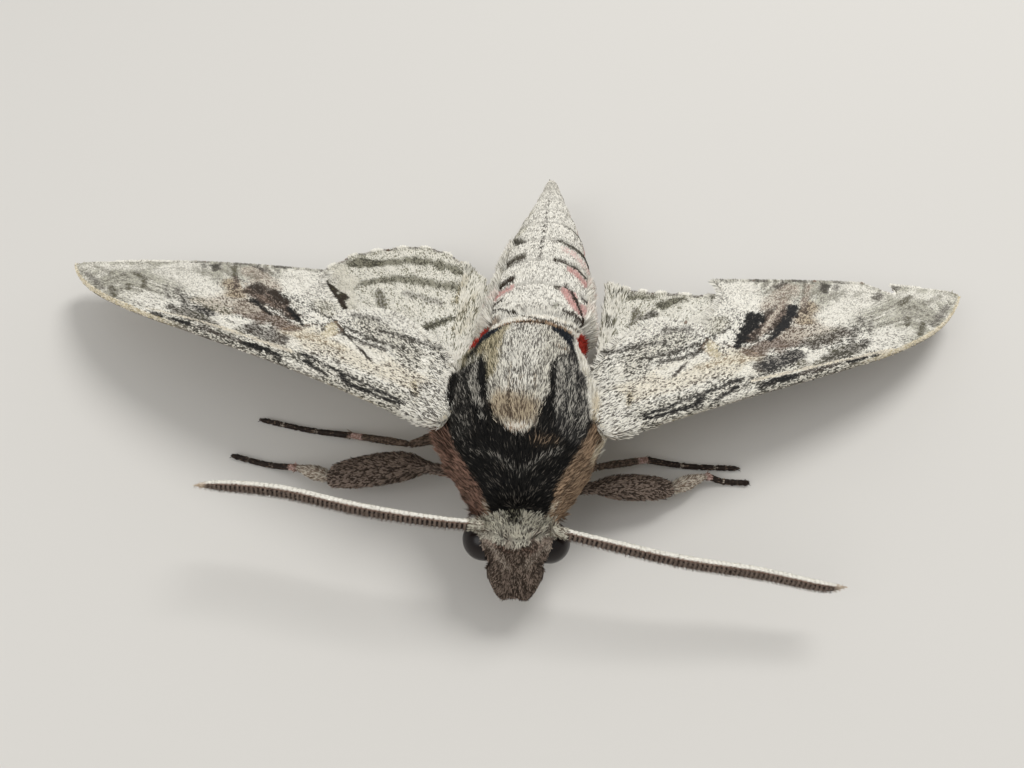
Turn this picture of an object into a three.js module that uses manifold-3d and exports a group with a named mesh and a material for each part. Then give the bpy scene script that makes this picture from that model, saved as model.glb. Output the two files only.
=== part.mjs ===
// A convolvulus hawk moth at rest on the ground with its wings half spread, life size.
// Millimetres. +Z is up, the head points to -Y and the moth's own left side is +X.
// The moth is modelled about the middle of its thorax on the ground plane, and its group then
// moves it so that the origin lies under the middle of the whole animal.

import * as THREE from 'three';
import { mergeVertices } from 'three/addons/utils/BufferGeometryUtils.js';
import Module from 'manifold-3d';

const wasm = await Module();
wasm.setup();
const { Manifold, Mesh: SolidMesh } = wasm;

// ---- driving dimensions ------------------------------------------------------------------

const FOREWING_LENGTH = 47;
const GAP = 0.25;                 // clear space between neighbouring pieces
const CUT = 0.2;                  // width of the cuts that part the rings of the trunk
const WING_THICKNESS = 0.55;
const HINDWING_DROP = 1.15;       // hindwing surface below the forewing's
const FLOOR_EASE = 0.02;          // a foot flattens this early, so that its flat is a real face
const MIDDLE = new THREE.Vector3(-0.56, 11.92, 0);   // middle of the whole animal on the ground

const { sin, cos, tan, sqrt, pow, min, max, abs, PI } = Math;
const rad = THREE.MathUtils.degToRad;
const SIDES = { left: 1, right: -1 };

// ---- finishes ----------------------------------------------------------------------------

const finish = (color, roughness, metalness = 0) => ({ color, roughness, metalness });
const FINISH = {
  thoraxFur: finish(0x6f6a62, 0.95),
  darkFur: finish(0x1d1c1e, 0.95),
  headFur: finish(0x6a6154, 0.95),
  palpFur: finish(0x51413a, 0.95),
  eye: finish(0x2b2521, 0.25),
  abdomenFur: finish(0xb9b2a6, 0.95),
  forewing: finish(0xa9a49a, 0.9),
  hindwing: finish(0xb8b3a8, 0.9),
  antenna: finish(0xc9bbae, 0.7),
  leg: finish(0x7a6a5e, 0.9),
  foot: finish(0x4b3f38, 0.7),
};

const moth = new THREE.Group();
moth.position.copy(MIDDLE).negate();
const model = new THREE.Group();
model.add(moth);

function addPiece(name, geometry, look) {
  const mesh = new THREE.Mesh(geometry, new THREE.MeshStandardMaterial(look));
  mesh.name = name;
  moth.add(mesh);
}

// ---- shaping and cutting -----------------------------------------------------------------

// Where the placing mirrors a primitive its faces turn inward, so their winding is turned back.
function facingOut(geometry) {
  const index = geometry.getIndex();
  const position = geometry.getAttribute('position');
  const a = new THREE.Vector3();
  const b = new THREE.Vector3();
  const c = new THREE.Vector3();
  let volume = 0;
  for (let i = 0; i < index.count; i += 3) {
    a.fromBufferAttribute(position, index.getX(i));
    b.fromBufferAttribute(position, index.getX(i + 1));
    c.fromBufferAttribute(position, index.getX(i + 2));
    volume += a.dot(b.cross(c));
  }
  if (volume > 0) return geometry;
  for (let i = 0; i < index.count; i += 3) {
    const keep = index.getX(i);
    index.setX(i, index.getX(i + 1));
    index.setX(i + 1, keep);
  }
  return geometry;
}

// Moves every vertex of a closed primitive by a function, and welds its seams.
function shaped(geometry, place) {
  geometry.deleteAttribute('normal');
  geometry.deleteAttribute('uv');
  const welded = mergeVertices(geometry, 1e-4);
  const position = welded.getAttribute('position');
  const point = new THREE.Vector3();
  for (let i = 0; i < position.count; i += 1) {
    point.fromBufferAttribute(position, i);
    const moved = place(point);
    position.setXYZ(i, moved.x, moved.y, moved.z);
  }
  return facingOut(welded);
}

function toSolid(geometry) {
  const welded = mergeVertices(geometry, 1e-4);
  return new Manifold(new SolidMesh({
    numProp: 3,
    vertProperties: new Float32Array(welded.getAttribute('position').array),
    triVerts: new Uint32Array(welded.getIndex().array),
  }));
}

function toGeometry(solid) {
  const mesh = solid.getMesh();
  const geometry = new THREE.BufferGeometry();
  geometry.setAttribute('position', new THREE.BufferAttribute(new Float32Array(mesh.vertProperties), 3));
  geometry.setIndex(new THREE.BufferAttribute(new Uint32Array(mesh.triVerts), 1));
  return geometry;
}

// A cut can leave a sliver on the far side of the cutter, so the main body is kept.
function mainBody(solid) {
  return solid.decompose().reduce((best, body) => (body.volume() > best.volume() ? body : best));
}

// Smooth blend through [position, value...] rows, position rising.
function along(rows, at) {
  const last = rows.length - 1;
  if (at <= rows[0][0]) return rows[0].slice(1);
  if (at >= rows[last][0]) return rows[last].slice(1);
  let i = 0;
  while (at > rows[i + 1][0]) i += 1;
  const span = rows[i + 1][0] - rows[i][0];
  const t = (at - rows[i][0]) / span;
  const before = rows[max(i - 1, 0)];
  const after = rows[min(i + 2, last)];
  return rows[i].slice(1).map((value, k) => {
    const here = rows[i][k + 1];
    const next = rows[i + 1][k + 1];
    const slopeHere = (next - before[k + 1]) / (rows[i + 1][0] - before[0]) * span;
    const slopeNext = (after[k + 1] - here) / (after[0] - rows[i][0]) * span;
    const a = 2 * (here - next) + slopeHere + slopeNext;
    const b = 3 * (next - here) - 2 * slopeHere - slopeNext;
    return a * t ** 3 + b * t ** 2 + slopeHere * t + here;
  });
}

// ---- trunk: collar, thorax, metathorax and the rings of the abdomen -------------------------

// y, sideways middle, middle height, half width, half height
const TRUNK = [
  [-9.5, 0, 7.0, 2.8, 3.0],
  [-8.2, 0, 7.0, 3.7, 4.1],
  [-6.2, 0, 7.2, 4.95, 5.0],
  [-3.5, 0, 7.4, 6.2, 5.6],
  [-0.8, 0, 7.5, 6.75, 5.8],
  [3, 0, 7.5, 6.4, 5.7],
  [6, 0.1, 7.4, 5.6, 5.4],
  [7.6, 0.3, 7.3, 5.3, 5.1],
  [9.5, 0.9, 7.1, 5.5, 4.9],
  [13, 1.3, 7.0, 5.4, 4.7],
  [17, 1.6, 6.8, 5.1, 4.4],
  [21, 1.85, 6.5, 4.6, 3.9],
  [25, 2.05, 6.1, 3.8, 3.3],
  [29, 2.25, 5.6, 2.8, 2.5],
  [33, 2.4, 5.1, 1.8, 1.7],
  [36, 2.5, 4.7, 1.15, 1.1],
  [37.6, 2.5, 4.6, 0.55, 0.55],
];

function trunkPoint(y, angle, grow) {
  const [middle, height, halfWidth, halfHeight] = along(TRUNK, y);
  return new THREE.Vector3(
    middle + (halfWidth + grow) * sin(angle),
    y,
    height + (halfHeight + grow) * cos(angle),
  );
}

// The length of trunk from one station to another. The cylinder's axis runs rearward.
function trunkLength(from, to, { steps = 2, around = 18, grow = 0 } = {}) {
  const drum = new THREE.CylinderGeometry(1, 1, 1, around, steps);
  return shaped(drum, (p) => {
    const t = 0.5 - p.y;
    const y = from + (to - from) * t;
    const radius = min(1, Math.hypot(p.x, p.z));
    const angle = Math.atan2(p.x, p.z);
    const rim = trunkPoint(y, angle, grow);
    const [middle, height] = along(TRUNK, y);
    return new THREE.Vector3(middle, y, height).lerp(rim, radius);
  });
}

// ---- thorax with its two shoulder covers ----------------------------------------------------

const COLLAR = { from: -9.5, to: -7.3 };
const THORAX = { from: COLLAR.to + CUT, to: 7.4 };
const TEGULA = { x: 6.1, y: -1.7, z: 11.1, halfWidth: 2.9, halfLength: 5.1, halfHeight: 2.6 };
const TEGULA_PROUD = 0.25;

function tegulaZone(side, grow) {
  const ball = new THREE.SphereGeometry(1, 16, 10);
  return toSolid(shaped(ball, (p) => new THREE.Vector3(
    side * TEGULA.x + p.x * (TEGULA.halfWidth + grow),
    TEGULA.y + p.y * (TEGULA.halfLength + grow),
    TEGULA.z + p.z * (TEGULA.halfHeight + grow),
  )));
}

const thoraxSize = { steps: 6, around: 22 };
let thorax = toSolid(trunkLength(THORAX.from, THORAX.to, thoraxSize));
const proudThorax = toSolid(trunkLength(THORAX.from, THORAX.to, { ...thoraxSize, grow: TEGULA_PROUD }));
for (const [name, side] of Object.entries(SIDES)) {
  thorax = thorax.subtract(tegulaZone(side, CUT));
  addPiece(`tegula_${name}`, toGeometry(proudThorax.intersect(tegulaZone(side, 0))), FINISH.darkFur);
}
addPiece('thorax', toGeometry(thorax), FINISH.thoraxFur);

// The whole trunk grown by the clearance, used to cut the roots of the wings and legs.
const clearTrunk = toSolid(trunkLength(-9.5, 21, { steps: 12, around: 26, grow: TEGULA_PROUD + GAP }));

// ---- metathorax and abdomen ---------------------------------------------------------------

const METATHORAX = { from: THORAX.to + CUT, to: 9.4 };
const ABDOMEN_RINGS = [9.6, 13.4, 17.2, 21.0, 24.7, 28.2, 31.4, 34.2, 37.6];

const metathorax = trunkLength(METATHORAX.from, METATHORAX.to, { steps: 1, around: 20 });
addPiece('metathorax', metathorax, FINISH.abdomenFur);
for (let ring = 0; ring < ABDOMEN_RINGS.length - 1; ring += 1) {
  const isTip = ring === ABDOMEN_RINGS.length - 2;
  const to = ABDOMEN_RINGS[ring + 1] - (isTip ? 0 : CUT);
  const around = ring < 5 ? 18 : 14;
  const geometry = trunkLength(ABDOMEN_RINGS[ring], to, { steps: isTip ? 4 : 2, around });
  addPiece(isTip ? 'abdomen_tip' : `abdomen_${ring + 1}`, geometry, FINISH.abdomenFur);
}

// ---- head, eyes and palps ---------------------------------------------------------------------

// y, middle height, half width, half height
const HEAD = [
  [-12.3, 5.8, 0.8, 0.8],
  [-11.9, 5.8, 1.8, 1.8],
  [-11.2, 5.95, 2.7, 2.6],
  [-10.5, 6.2, 3.2, 3.05],
  [-10.0, 6.5, 3.3, 3.1],
  [-9.7, 6.7, 3.1, 2.95],
];
const EYE = { x: 2.55, y: -9.6, z: 5.6, radius: 1.7 };
const PALP = {
  x: 1.28, y: -11.35, z: 4.65, halfLength: 2.8, halfWidth: 1.35, halfDepth: 1.7,
  dip: 35, toeIn: 15, parting: 0.12,
};

function headSolid(grow) {
  const drum = new THREE.CylinderGeometry(1, 1, 1, 20, 7);
  const from = HEAD[0][0] - grow;
  const to = HEAD[HEAD.length - 1][0];
  return toSolid(shaped(drum, (p) => {
    const t = 0.5 + p.y;
    const y = to + (from - to) * t;
    const [height, halfWidth, halfHeight] = along(HEAD, y);
    const radius = min(1, Math.hypot(p.x, p.z));
    const angle = Math.atan2(p.x, p.z);
    return new THREE.Vector3(
      (halfWidth + grow) * sin(angle) * radius,
      y,
      height + (halfHeight + grow) * cos(angle) * radius,
    );
  }));
}

function eyeSolid(side, grow) {
  const ball = new THREE.SphereGeometry(EYE.radius + grow, 14, 10);
  ball.translate(side * EYE.x, EYE.y, EYE.z);
  return toSolid(shaped(ball, (p) => p.clone()));
}

function palpSolid(side) {
  const ball = new THREE.SphereGeometry(1, 12, 10);
  ball.scale(PALP.halfWidth, PALP.halfLength, PALP.halfDepth);
  ball.rotateX(rad(PALP.dip));
  ball.rotateZ(rad(side * -PALP.toeIn));
  ball.translate(side * PALP.x, PALP.y, PALP.z);
  return toSolid(shaped(ball, (p) => new THREE.Vector3(side * max(side * p.x, PALP.parting), p.y, p.z)));
}

const clearHead = headSolid(GAP);
let head = headSolid(0);
let collar = toSolid(trunkLength(COLLAR.from, COLLAR.to, { steps: 2, around: 20 }));
for (const [name, side] of Object.entries(SIDES)) {
  head = head.subtract(eyeSolid(side, GAP));
  collar = collar.subtract(eyeSolid(side, GAP));
  addPiece(`eye_${name}`, toGeometry(eyeSolid(side, 0)), FINISH.eye);
  const palp = palpSolid(side).subtract(clearHead).subtract(clearTrunk).subtract(eyeSolid(side, GAP));
  addPiece(`palp_${name}`, toGeometry(mainBody(palp)), FINISH.palpFur);
}
addPiece('head', toGeometry(head), FINISH.headFur);
addPiece('collar', toGeometry(collar), FINISH.darkFur);

// ---- limbs: tapered round or flattened lengths along a curve --------------------------------------

const UP = new THREE.Vector3(0, 0, 1);

// widths: rows of [share of the length, half width across, half height]
function limb(points, widths, { steps = 4, around = 8, floor = false } = {}) {
  const curve = new THREE.CatmullRomCurve3(points.map((p) => new THREE.Vector3(...p)));
  const drum = new THREE.CylinderGeometry(1, 1, 1, around, steps);
  return shaped(drum, (p) => {
    const t = 0.5 + p.y;
    const centre = curve.getPoint(t);
    const forward = curve.getTangent(t);
    const across = new THREE.Vector3().crossVectors(forward, UP).normalize();
    const lift = new THREE.Vector3().crossVectors(across, forward);
    const [halfWidth, halfHeight] = along(widths, t);
    centre.addScaledVector(across, p.x * halfWidth).addScaledVector(lift, -p.z * halfHeight);
    if (floor && centre.z < FLOOR_EASE) centre.z = 0;
    return centre;
  });
}

// ---- antennae ---------------------------------------------------------------------------------

const ANTENNA_PATHS = {
  right: [[-2.5, -9.9, 8.2], [-5.9, -9.85, 8.4], [-12, -9.1, 8.45], [-18.4, -7.9, 8.55], [-23.3, -7.6, 8.5],
    [-25, -7.75, 8.6]],
  left: [[2.6, -9.9, 8.0], [6.3, -10.5, 7.55], [12.5, -11.3, 6.7], [18.7, -11.6, 5.85], [23.8, -12.1, 5.15],
    [25.4, -12.0, 5.0]],
};
const ANTENNA_WIDTHS = [
  [0, 0.34, 0.38],
  [0.15, 0.4, 0.5],
  [0.5, 0.46, 0.58],
  [0.75, 0.42, 0.52],
  [0.92, 0.28, 0.3],
  [1, 0.25, 0.25],
];

for (const [name, path] of Object.entries(ANTENNA_PATHS)) {
  const antenna = toSolid(limb(path, ANTENNA_WIDTHS, { steps: 20, around: 8 }));
  addPiece(`antenna_${name}`, toGeometry(mainBody(antenna.subtract(clearHead))), FINISH.antenna);
}

// ---- wings --------------------------------------------------------------------------------------

// Each wing is set out flat, as span s from the root and chord c rearward from the line between
// the root and the tip, then laid on its slope, arched and slightly twisted.
const WING_ROOT = { x: 5, y: 0, z: 10 };
const WING_SET = {
  left: { sweep: 29.0, droop: 8.3, pitch: 8.6, twist: -0.5, arch: 0.9, camber: 0.007 },
  right: { sweep: 26.2, droop: 7.4, pitch: 14.9, twist: 2.8, arch: 1.75, camber: 0.006 },
};
const TORNUS = { s: 23.7, c: 12.9 };

function wingFrame(name) {
  const side = SIDES[name];
  const set = WING_SET[name];
  const sweep = rad(set.sweep);
  const droop = rad(set.droop);
  const pitch = rad(set.pitch);
  const span = new THREE.Vector3(side * cos(sweep) * cos(droop), sin(sweep) * cos(droop), -sin(droop));
  const level = new THREE.Vector3(-side * sin(sweep), cos(sweep), 0);
  const up = new THREE.Vector3().crossVectors(span, level).multiplyScalar(side);
  const chord = level.multiplyScalar(cos(pitch)).addScaledVector(up, -sin(pitch));
  const normal = new THREE.Vector3().crossVectors(span, chord).multiplyScalar(side);
  const root = new THREE.Vector3(side * WING_ROOT.x, WING_ROOT.y, WING_ROOT.z);
  return { side, set, span, chord, normal, root };
}

function onWing({ set, span, chord, normal, root }, s, c, lift) {
  const share = s / FOREWING_LENGTH;
  const arch = set.arch * sin(PI * min(max(share, 0), 1));
  const rise = arch - set.camber * c * c - tan(rad(set.twist)) * share * c + lift;
  return root.clone().addScaledVector(span, s).addScaledVector(chord, c).addScaledVector(normal, rise);
}

const bezier = (a, b, c, d) => new THREE.CubicBezierCurve(
  new THREE.Vector2(...a), new THREE.Vector2(...b), new THREE.Vector2(...c), new THREE.Vector2(...d));

// Forewing edges, as points spread along each curve.
const COSTA = bezier([0, -3.64], [24.48, -4.59], [35.87, -7.36], [FOREWING_LENGTH, 0]);
const TERMEN = bezier([TORNUS.s, TORNUS.c], [31.74, 8.11], [48.2, 3.2], [FOREWING_LENGTH, 0]);
const DORSUM = [[0, 2.4], [3.5, 4.4], [6.7, 6.8], [10.5, 8.5], [14, 8.9], [17, 7.3], [20.4, 9.4],
  [TORNUS.s, TORNUS.c]];
// A nick worn in the left forewing's outer edge near its tip.
const NICK = { s: 39.6, halfWidth: 1.4, depth: 2.3 };

function edgeAt(curve, s) {
  let low = 0;
  let high = 1;
  for (let i = 0; i < 30; i += 1) {
    const t = (low + high) / 2;
    if (curve.getPoint(t).x < s) low = t;
    else high = t;
  }
  return curve.getPoint(low).y;
}

const TIP_S = 46.75;              // the rounded tip ends here
const STATION_CROWDING = 1.25;    // more than 1 sets the stations closer towards the tip
const dorsumAt = (s) => along(DORSUM, s)[0];

function trailingEdge(name, s) {
  const edge = s < TORNUS.s ? dorsumAt(s) : edgeAt(TERMEN, s);
  if (name !== 'left') return edge;
  const off = min(1, abs(s - NICK.s) / NICK.halfWidth);
  return edge - NICK.depth * (1 - off * off);
}

function forewing(name) {
  const frame = wingFrame(name);
  const slab = new THREE.BoxGeometry(1, 1, 1, 42, 5, 1);
  return shaped(slab, (p) => {
    const s = TIP_S * (1 - pow(0.5 - p.x, STATION_CROWDING));
    const front = edgeAt(COSTA, s);
    const back = trailingEdge(name, s);
    const c = front + (back - front) * (0.5 + p.y);
    return onWing(frame, s, c, p.z * WING_THICKNESS);
  });
}

// Hindwing: a fan about a point near its root, from the edge by the abdomen to the front edge.
const FAN_ROOT = { s: 3.2, c: 3.2, reach: 1.6 };
// Reach of each fan from that point, as [angle, reach] rows from its inner edge outward.
const FAN = {
  left: [[37, 15.9], [47, 16.0], [55, 17.2], [65, 20.6], [75, 23.5], [86, 25]],
  right: [[8, 12.5], [23, 18.1], [33, 21.6], [45, 25.3], [54, 26.6], [63, 25.7], [84, 24.6]],
};
const LEVEL_RISE = tan(rad(8));   // behind the forewing's edge the hindwing lies flatter than it
const LEVEL_SOFTNESS = 2;

// Chord from which the hindwing levels off: just behind the forewing's edge above it.
function levelFrom(s) {
  return 8.6 + 4.6 * THREE.MathUtils.smoothstep(s, 15, TORNUS.s);
}

function onHindwing(frame, s, c, lift) {
  const past = c - levelFrom(s);
  const beyond = 0.5 * (past + sqrt(past * past + LEVEL_SOFTNESS));
  const near = c - beyond;
  const { set, span, chord, normal, root } = frame;
  const share = s / FOREWING_LENGTH;
  const rise = set.arch * sin(PI * min(max(share, 0), 1)) - set.camber * near * near
    - tan(rad(set.twist)) * share * near + LEVEL_RISE * beyond - HINDWING_DROP + lift;
  return root.clone().addScaledVector(span, s).addScaledVector(chord, c).addScaledVector(normal, rise);
}

function hindwing(name) {
  const frame = wingFrame(name);
  const fan = FAN[name];
  const inner = fan[0][0];
  const outer = fan[fan.length - 1][0];
  const slab = new THREE.BoxGeometry(1, 1, 1, 16, 7, 1);
  return shaped(slab, (p) => {
    const t = 0.5 - p.x;
    const angle = inner + (outer - inner) * t;
    const [reach] = along(fan, angle);
    const r = FAN_ROOT.reach + (reach - FAN_ROOT.reach) * (0.5 + p.y);
    const s = FAN_ROOT.s + r * sin(rad(angle));
    const c = FAN_ROOT.c + r * cos(rad(angle));
    return onHindwing(frame, s, c, p.z * WING_THICKNESS);
  });
}

for (const name of Object.keys(SIDES)) {
  const fore = toSolid(forewing(name)).subtract(clearTrunk);
  addPiece(`forewing_${name}`, toGeometry(mainBody(fore)), FINISH.forewing);
  const hind = toSolid(hindwing(name)).subtract(clearTrunk);
  addPiece(`hindwing_${name}`, toGeometry(mainBody(hind)), FINISH.hindwing);
}

// ---- legs ------------------------------------------------------------------------------------------

// Femur, tibia and tarsus of each leg by their joints. The feet lie flat on the ground.
const FOOT = 0.28;                // height of a foot's middle, a little under its own radius
const LEGS = {
  fore: {
    right: [[-5.2, -3.0, 4.6], [-9.0, -2.1, 4.0], [-16.6, -2.3, 2.1], [-19.8, -0.9, 1.1], [-26.2, 0.6, FOOT]],
    left: [[4.2, -4.0, 4.4], [7.6, -3.2, 3.8], [13.4, -2.0, 2.2], [16.9, 0.2, 1.1], [20.9, 0.2, FOOT]],
  },
  mid: {
    right: [[-4.6, 2.2, 4.2], [-7.2, 1.0, 4.2], [-9.6, 0.6, 3.4], [-15.5, 3.0, 0.9], [-24.6, 4.8, FOOT]],
    left: [[4.8, -1.2, 5.3], [5.6, -1.8, 5.0], [6.6, -1.6, 4.4], [11.6, 1.7, 1.0], [20.2, 1.7, FOOT]],
  },
  hind: {
    right: [[-3.2, 4.6, 3.6], [-5.4, 6.2, 3.2], [-8.2, 9.6, 2.6], [-10.2, 13.2, 0.9], [-11.6, 17.0, FOOT]],
    left: [[3.4, 4.6, 3.6], [5.6, 6.2, 3.2], [8.2, 9.4, 2.6], [9.8, 12.6, 0.9], [10.8, 16.0, FOOT]],
  },
};
// Half widths of the fore femur's broad brush of scales, and of the plainer lengths.
const BRUSH = { right: 1.7, left: 1.35 };
const THIGH = { mid: 0.62, hind: 0.8 };
const SHIN = { fore: 0.78, mid: 0.42, hind: 0.6 };
const TOE = 0.3;
const LEG_GAP = 0.12;             // clear space on each side of a leg's joint

const mix = (a, b, t) => a.map((value, k) => value + (b[k] - value) * t);

function shorten(a, b, ends) {
  const length = Math.hypot(b[0] - a[0], b[1] - a[1], b[2] - a[2]);
  return [mix(a, b, ends[0] / length), mix(b, a, ends[1] / length)];
}

for (const [pair, sides] of Object.entries(LEGS)) {
  for (const [name, joints] of Object.entries(sides)) {
    const [hip, bend, knee, ankle, toe] = joints;
    const thick = pair === 'fore' ? BRUSH[name] : THIGH[pair];
    const femurRows = pair === 'fore'
      ? [[0, 0.7, 0.7], [0.35, 0.8, 0.75], [0.6, thick, 1.15], [0.85, thick, 1.1], [1, 0.75 * thick, 0.7]]
      : [[0, thick, thick], [0.5, 1.15 * thick, 1.1 * thick], [1, 0.7 * thick, 0.7 * thick]];
    const kneeEnd = shorten(bend, knee, [0, LEG_GAP])[1];
    const femur = toSolid(limb([hip, bend, kneeEnd], femurRows, { steps: 5, around: 10 }));
    addPiece(`${pair}_${name}_femur`, toGeometry(mainBody(femur.subtract(clearTrunk))), FINISH.leg);

    const shin = SHIN[pair];
    const shinRows = [[0, 0.8 * shin, 0.8 * shin], [0.4, shin, shin], [1, 0.36, 0.36]];
    const tibia = limb(shorten(knee, ankle, [LEG_GAP, LEG_GAP]), shinRows, { steps: 2 });
    addPiece(`${pair}_${name}_tibia`, tibia, FINISH.leg);

    const [start, end] = shorten(ankle, toe, [LEG_GAP, 0]);
    const sole = [mix(start, end, 0.45)[0], mix(start, end, 0.45)[1], FOOT];
    const toeRows = [[0, 0.34, 0.34], [0.4, TOE, TOE], [1, 0.27, TOE]];
    const tarsus = limb([start, sole, end], toeRows, { steps: 4, floor: true });
    addPiece(`${pair}_${name}_tarsus`, tarsus, FINISH.foot);
  }
}

export default model;
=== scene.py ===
"""Looks of a life-size hawk moth at rest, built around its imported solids.

Sizes are millimetres in the moth's own coordinates: x to the moth's left of its midline,
y rearward of the wing roots, z up from the ground. put() turns them into the frame's metres.
"""

import math

import bmesh
import bpy
import numpy as np
from mathutils import Matrix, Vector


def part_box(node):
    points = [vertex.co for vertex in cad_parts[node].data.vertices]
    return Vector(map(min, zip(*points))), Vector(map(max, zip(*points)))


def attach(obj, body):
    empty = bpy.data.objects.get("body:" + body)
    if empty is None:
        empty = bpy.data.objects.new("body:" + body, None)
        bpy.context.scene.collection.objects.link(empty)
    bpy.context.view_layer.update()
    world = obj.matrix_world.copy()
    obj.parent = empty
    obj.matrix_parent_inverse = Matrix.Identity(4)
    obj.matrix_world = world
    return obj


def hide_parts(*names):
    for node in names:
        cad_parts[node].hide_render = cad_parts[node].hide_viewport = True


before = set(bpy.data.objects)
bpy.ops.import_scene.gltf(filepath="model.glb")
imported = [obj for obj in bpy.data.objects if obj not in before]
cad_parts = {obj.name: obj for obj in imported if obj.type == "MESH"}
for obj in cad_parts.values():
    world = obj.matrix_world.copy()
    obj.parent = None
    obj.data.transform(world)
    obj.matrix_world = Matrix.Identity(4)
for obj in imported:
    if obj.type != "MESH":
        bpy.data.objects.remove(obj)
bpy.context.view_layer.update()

MM = 0.001
SEED = 11
SIDES = {"left": 1, "right": -1}
EYE = {"x": 2.55, "y": -9.6, "z": 5.6, "radius": 1.7}
CLOUD_SIZE = 64                   # bumps of a random cloud before it repeats
MOST_BLEND = 0.16                 # how far a hair may lean to the other one of its two tones
TRIES_TO_A_CELL = 3.0             # random places tried to a square of a coat's grid
CELL_RANGE = 2000                 # cells of the finest coat's grid across the whole moth, and to spare


def box_middle(node):
    low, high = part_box(node)
    return (np.array(low) + np.array(high)) / (2 * MM)


# The frame's origin in the moth's coordinates, read from where the two eyes sit.
EYES_MIDDLE = (box_middle("eye_left") + box_middle("eye_right")) / 2
ORIGIN = np.array([-EYES_MIDDLE[0], EYE["y"] - EYES_MIDDLE[1], 0.0])


# ---- small tools ---------------------------------------------------------------------------------

def put(points):
    return (np.asarray(points) - ORIGIN) * MM


def smooth(x, low, high):
    t = np.clip((x - low) / (high - low), 0.0, 1.0)
    return t * t * (3.0 - 2.0 * t)


def fade(x, low, high):
    """1 up to low, falling to 0 at high."""
    return 1.0 - smooth(x, low, high)


def band(x, middle, half, soft):
    """1 within half of middle, fading to 0 over soft."""
    return fade(np.abs(x - middle), half, half + soft)


def from_line(s, c, path):
    """Distance of each point from a line through the path's points, and its share along it."""
    best = np.full(s.shape, 1e9)
    share = np.zeros(s.shape)
    steps = len(path) - 1
    for k, ((s0, c0), (s1, c1)) in enumerate(zip(path[:-1], path[1:])):
        ds, dc = s1 - s0, c1 - c0
        t = np.clip(((s - s0) * ds + (c - c0) * dc) / (ds * ds + dc * dc), 0, 1)
        away = np.hypot(s - s0 - t * ds, c - c0 - t * dc)
        closer = away < best
        best = np.where(closer, away, best)
        share = np.where(closer, (k + t) / steps, share)
    return best, share


def unit(vectors):
    return vectors / np.maximum(np.linalg.norm(vectors, axis=-1, keepdims=True), 1e-9)


def cloud(seed, x, y):
    """Smooth random value from 0 to 1, one bump to each unit of x and y."""
    table = np.random.default_rng([SEED, seed]).random((CLOUD_SIZE, CLOUD_SIZE))
    i = np.floor(x).astype(int)
    j = np.floor(y).astype(int)
    u = smooth(x - i, 0.0, 1.0)
    v = smooth(y - j, 0.0, 1.0)

    def level(row):
        row = row % CLOUD_SIZE
        return table[i % CLOUD_SIZE, row] * (1 - u) + table[(i + 1) % CLOUD_SIZE, row] * u

    return level(j) * (1 - v) + level(j + 1) * v


def along(rows, at):
    """Smooth blend through [position, value...] rows at many positions."""
    rows = np.asarray(rows, float)
    at = np.clip(np.asarray(at, float), rows[0, 0], rows[-1, 0])
    i = np.clip(np.searchsorted(rows[:, 0], at, side="right") - 1, 0, len(rows) - 2)
    here = rows[i]
    there = rows[i + 1]
    before = rows[np.maximum(i - 1, 0)]
    after = rows[np.minimum(i + 2, len(rows) - 1)]
    span = (there - here)[..., :1]
    t = (at[..., None] - here[..., :1]) / span
    slope_here = (there - before)[..., 1:] / (there - before)[..., :1] * span
    slope_there = (after - here)[..., 1:] / (after - here)[..., :1] * span
    a = 2 * (here - there)[..., 1:] + slope_here + slope_there
    b = 3 * (there - here)[..., 1:] - 2 * slope_here - slope_there
    return a * t ** 3 + b * t ** 2 + slope_here * t + here[..., 1:]


def curve_through(points, share):
    """Centripetal curve through points, at shares of the way from the first to the last."""
    points = np.asarray(points, float)
    padded = np.vstack([2 * points[0] - points[1], points, 2 * points[-1] - points[-2]])
    place = np.clip(np.asarray(share, float), 0, 1) * (len(points) - 1)
    i = np.minimum(np.floor(place).astype(int), len(points) - 2)
    t = (place - i)[:, None]
    p = [padded[i + k] for k in range(4)]
    gap = [np.sqrt(np.linalg.norm(p[k + 1] - p[k], axis=1))[:, None] for k in range(3)]

    def slope(k):
        chords = (p[k] - p[k - 1]) / gap[k - 1] - (p[k + 1] - p[k - 1]) / (gap[k - 1] + gap[k])
        return (chords + (p[k + 1] - p[k]) / gap[k]) * gap[1]

    leave = slope(1)
    arrive = slope(2)
    bend = 2 * (p[1] - p[2]) + leave + arrive
    sweep = 3 * (p[2] - p[1]) - 2 * leave - arrive
    return bend * t ** 3 + sweep * t ** 2 + leave * t + p[1]


def way_along(middles):
    """Distance travelled along a line of points, at each of them."""
    return np.concatenate([[0], np.cumsum(np.linalg.norm(np.diff(middles, axis=0), axis=1))])


# ---- tones ---------------------------------------------------------------------------------------

def tone(code):
    """Linear colour of a written #rrggbb one."""
    values = np.array([int(code[k:k + 2], 16) for k in (1, 3, 5)]) / 255
    return np.where(values <= 0.04045, values / 12.92, ((values + 0.055) / 1.055) ** 2.4)


TONES = {name: tone(code) for name, code in {
    "white": "#faf6ea", "chalk": "#e6e1d2", "cream": "#efe5ce", "straw": "#cdbf9c", "tan": "#bca98a",
    "bone": "#d8cebd", "ash": "#c4bfb3", "stone": "#98938a", "smoke": "#5c5750", "pepper": "#37332a",
    "olive": "#5a563f", "moss": "#7d7a64", "soot": "#18181a", "ink": "#050607", "blue_black": "#0a1019",
    "umber": "#33281f", "bark": "#5b493a", "fawn": "#b3987c", "rosy_fawn": "#967565", "brick": "#b23a2e",
    "rose": "#cb8f88", "blush": "#dbbab2", "lichen": "#dbd6c4", "plum": "#30271f", "mauve": "#8d7c6f",
    "sage": "#c6c3b2", "fur_brown": "#7d6a5a", "chocolate": "#1a100d", "steel": "#5b6063",
}.items()}


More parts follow.
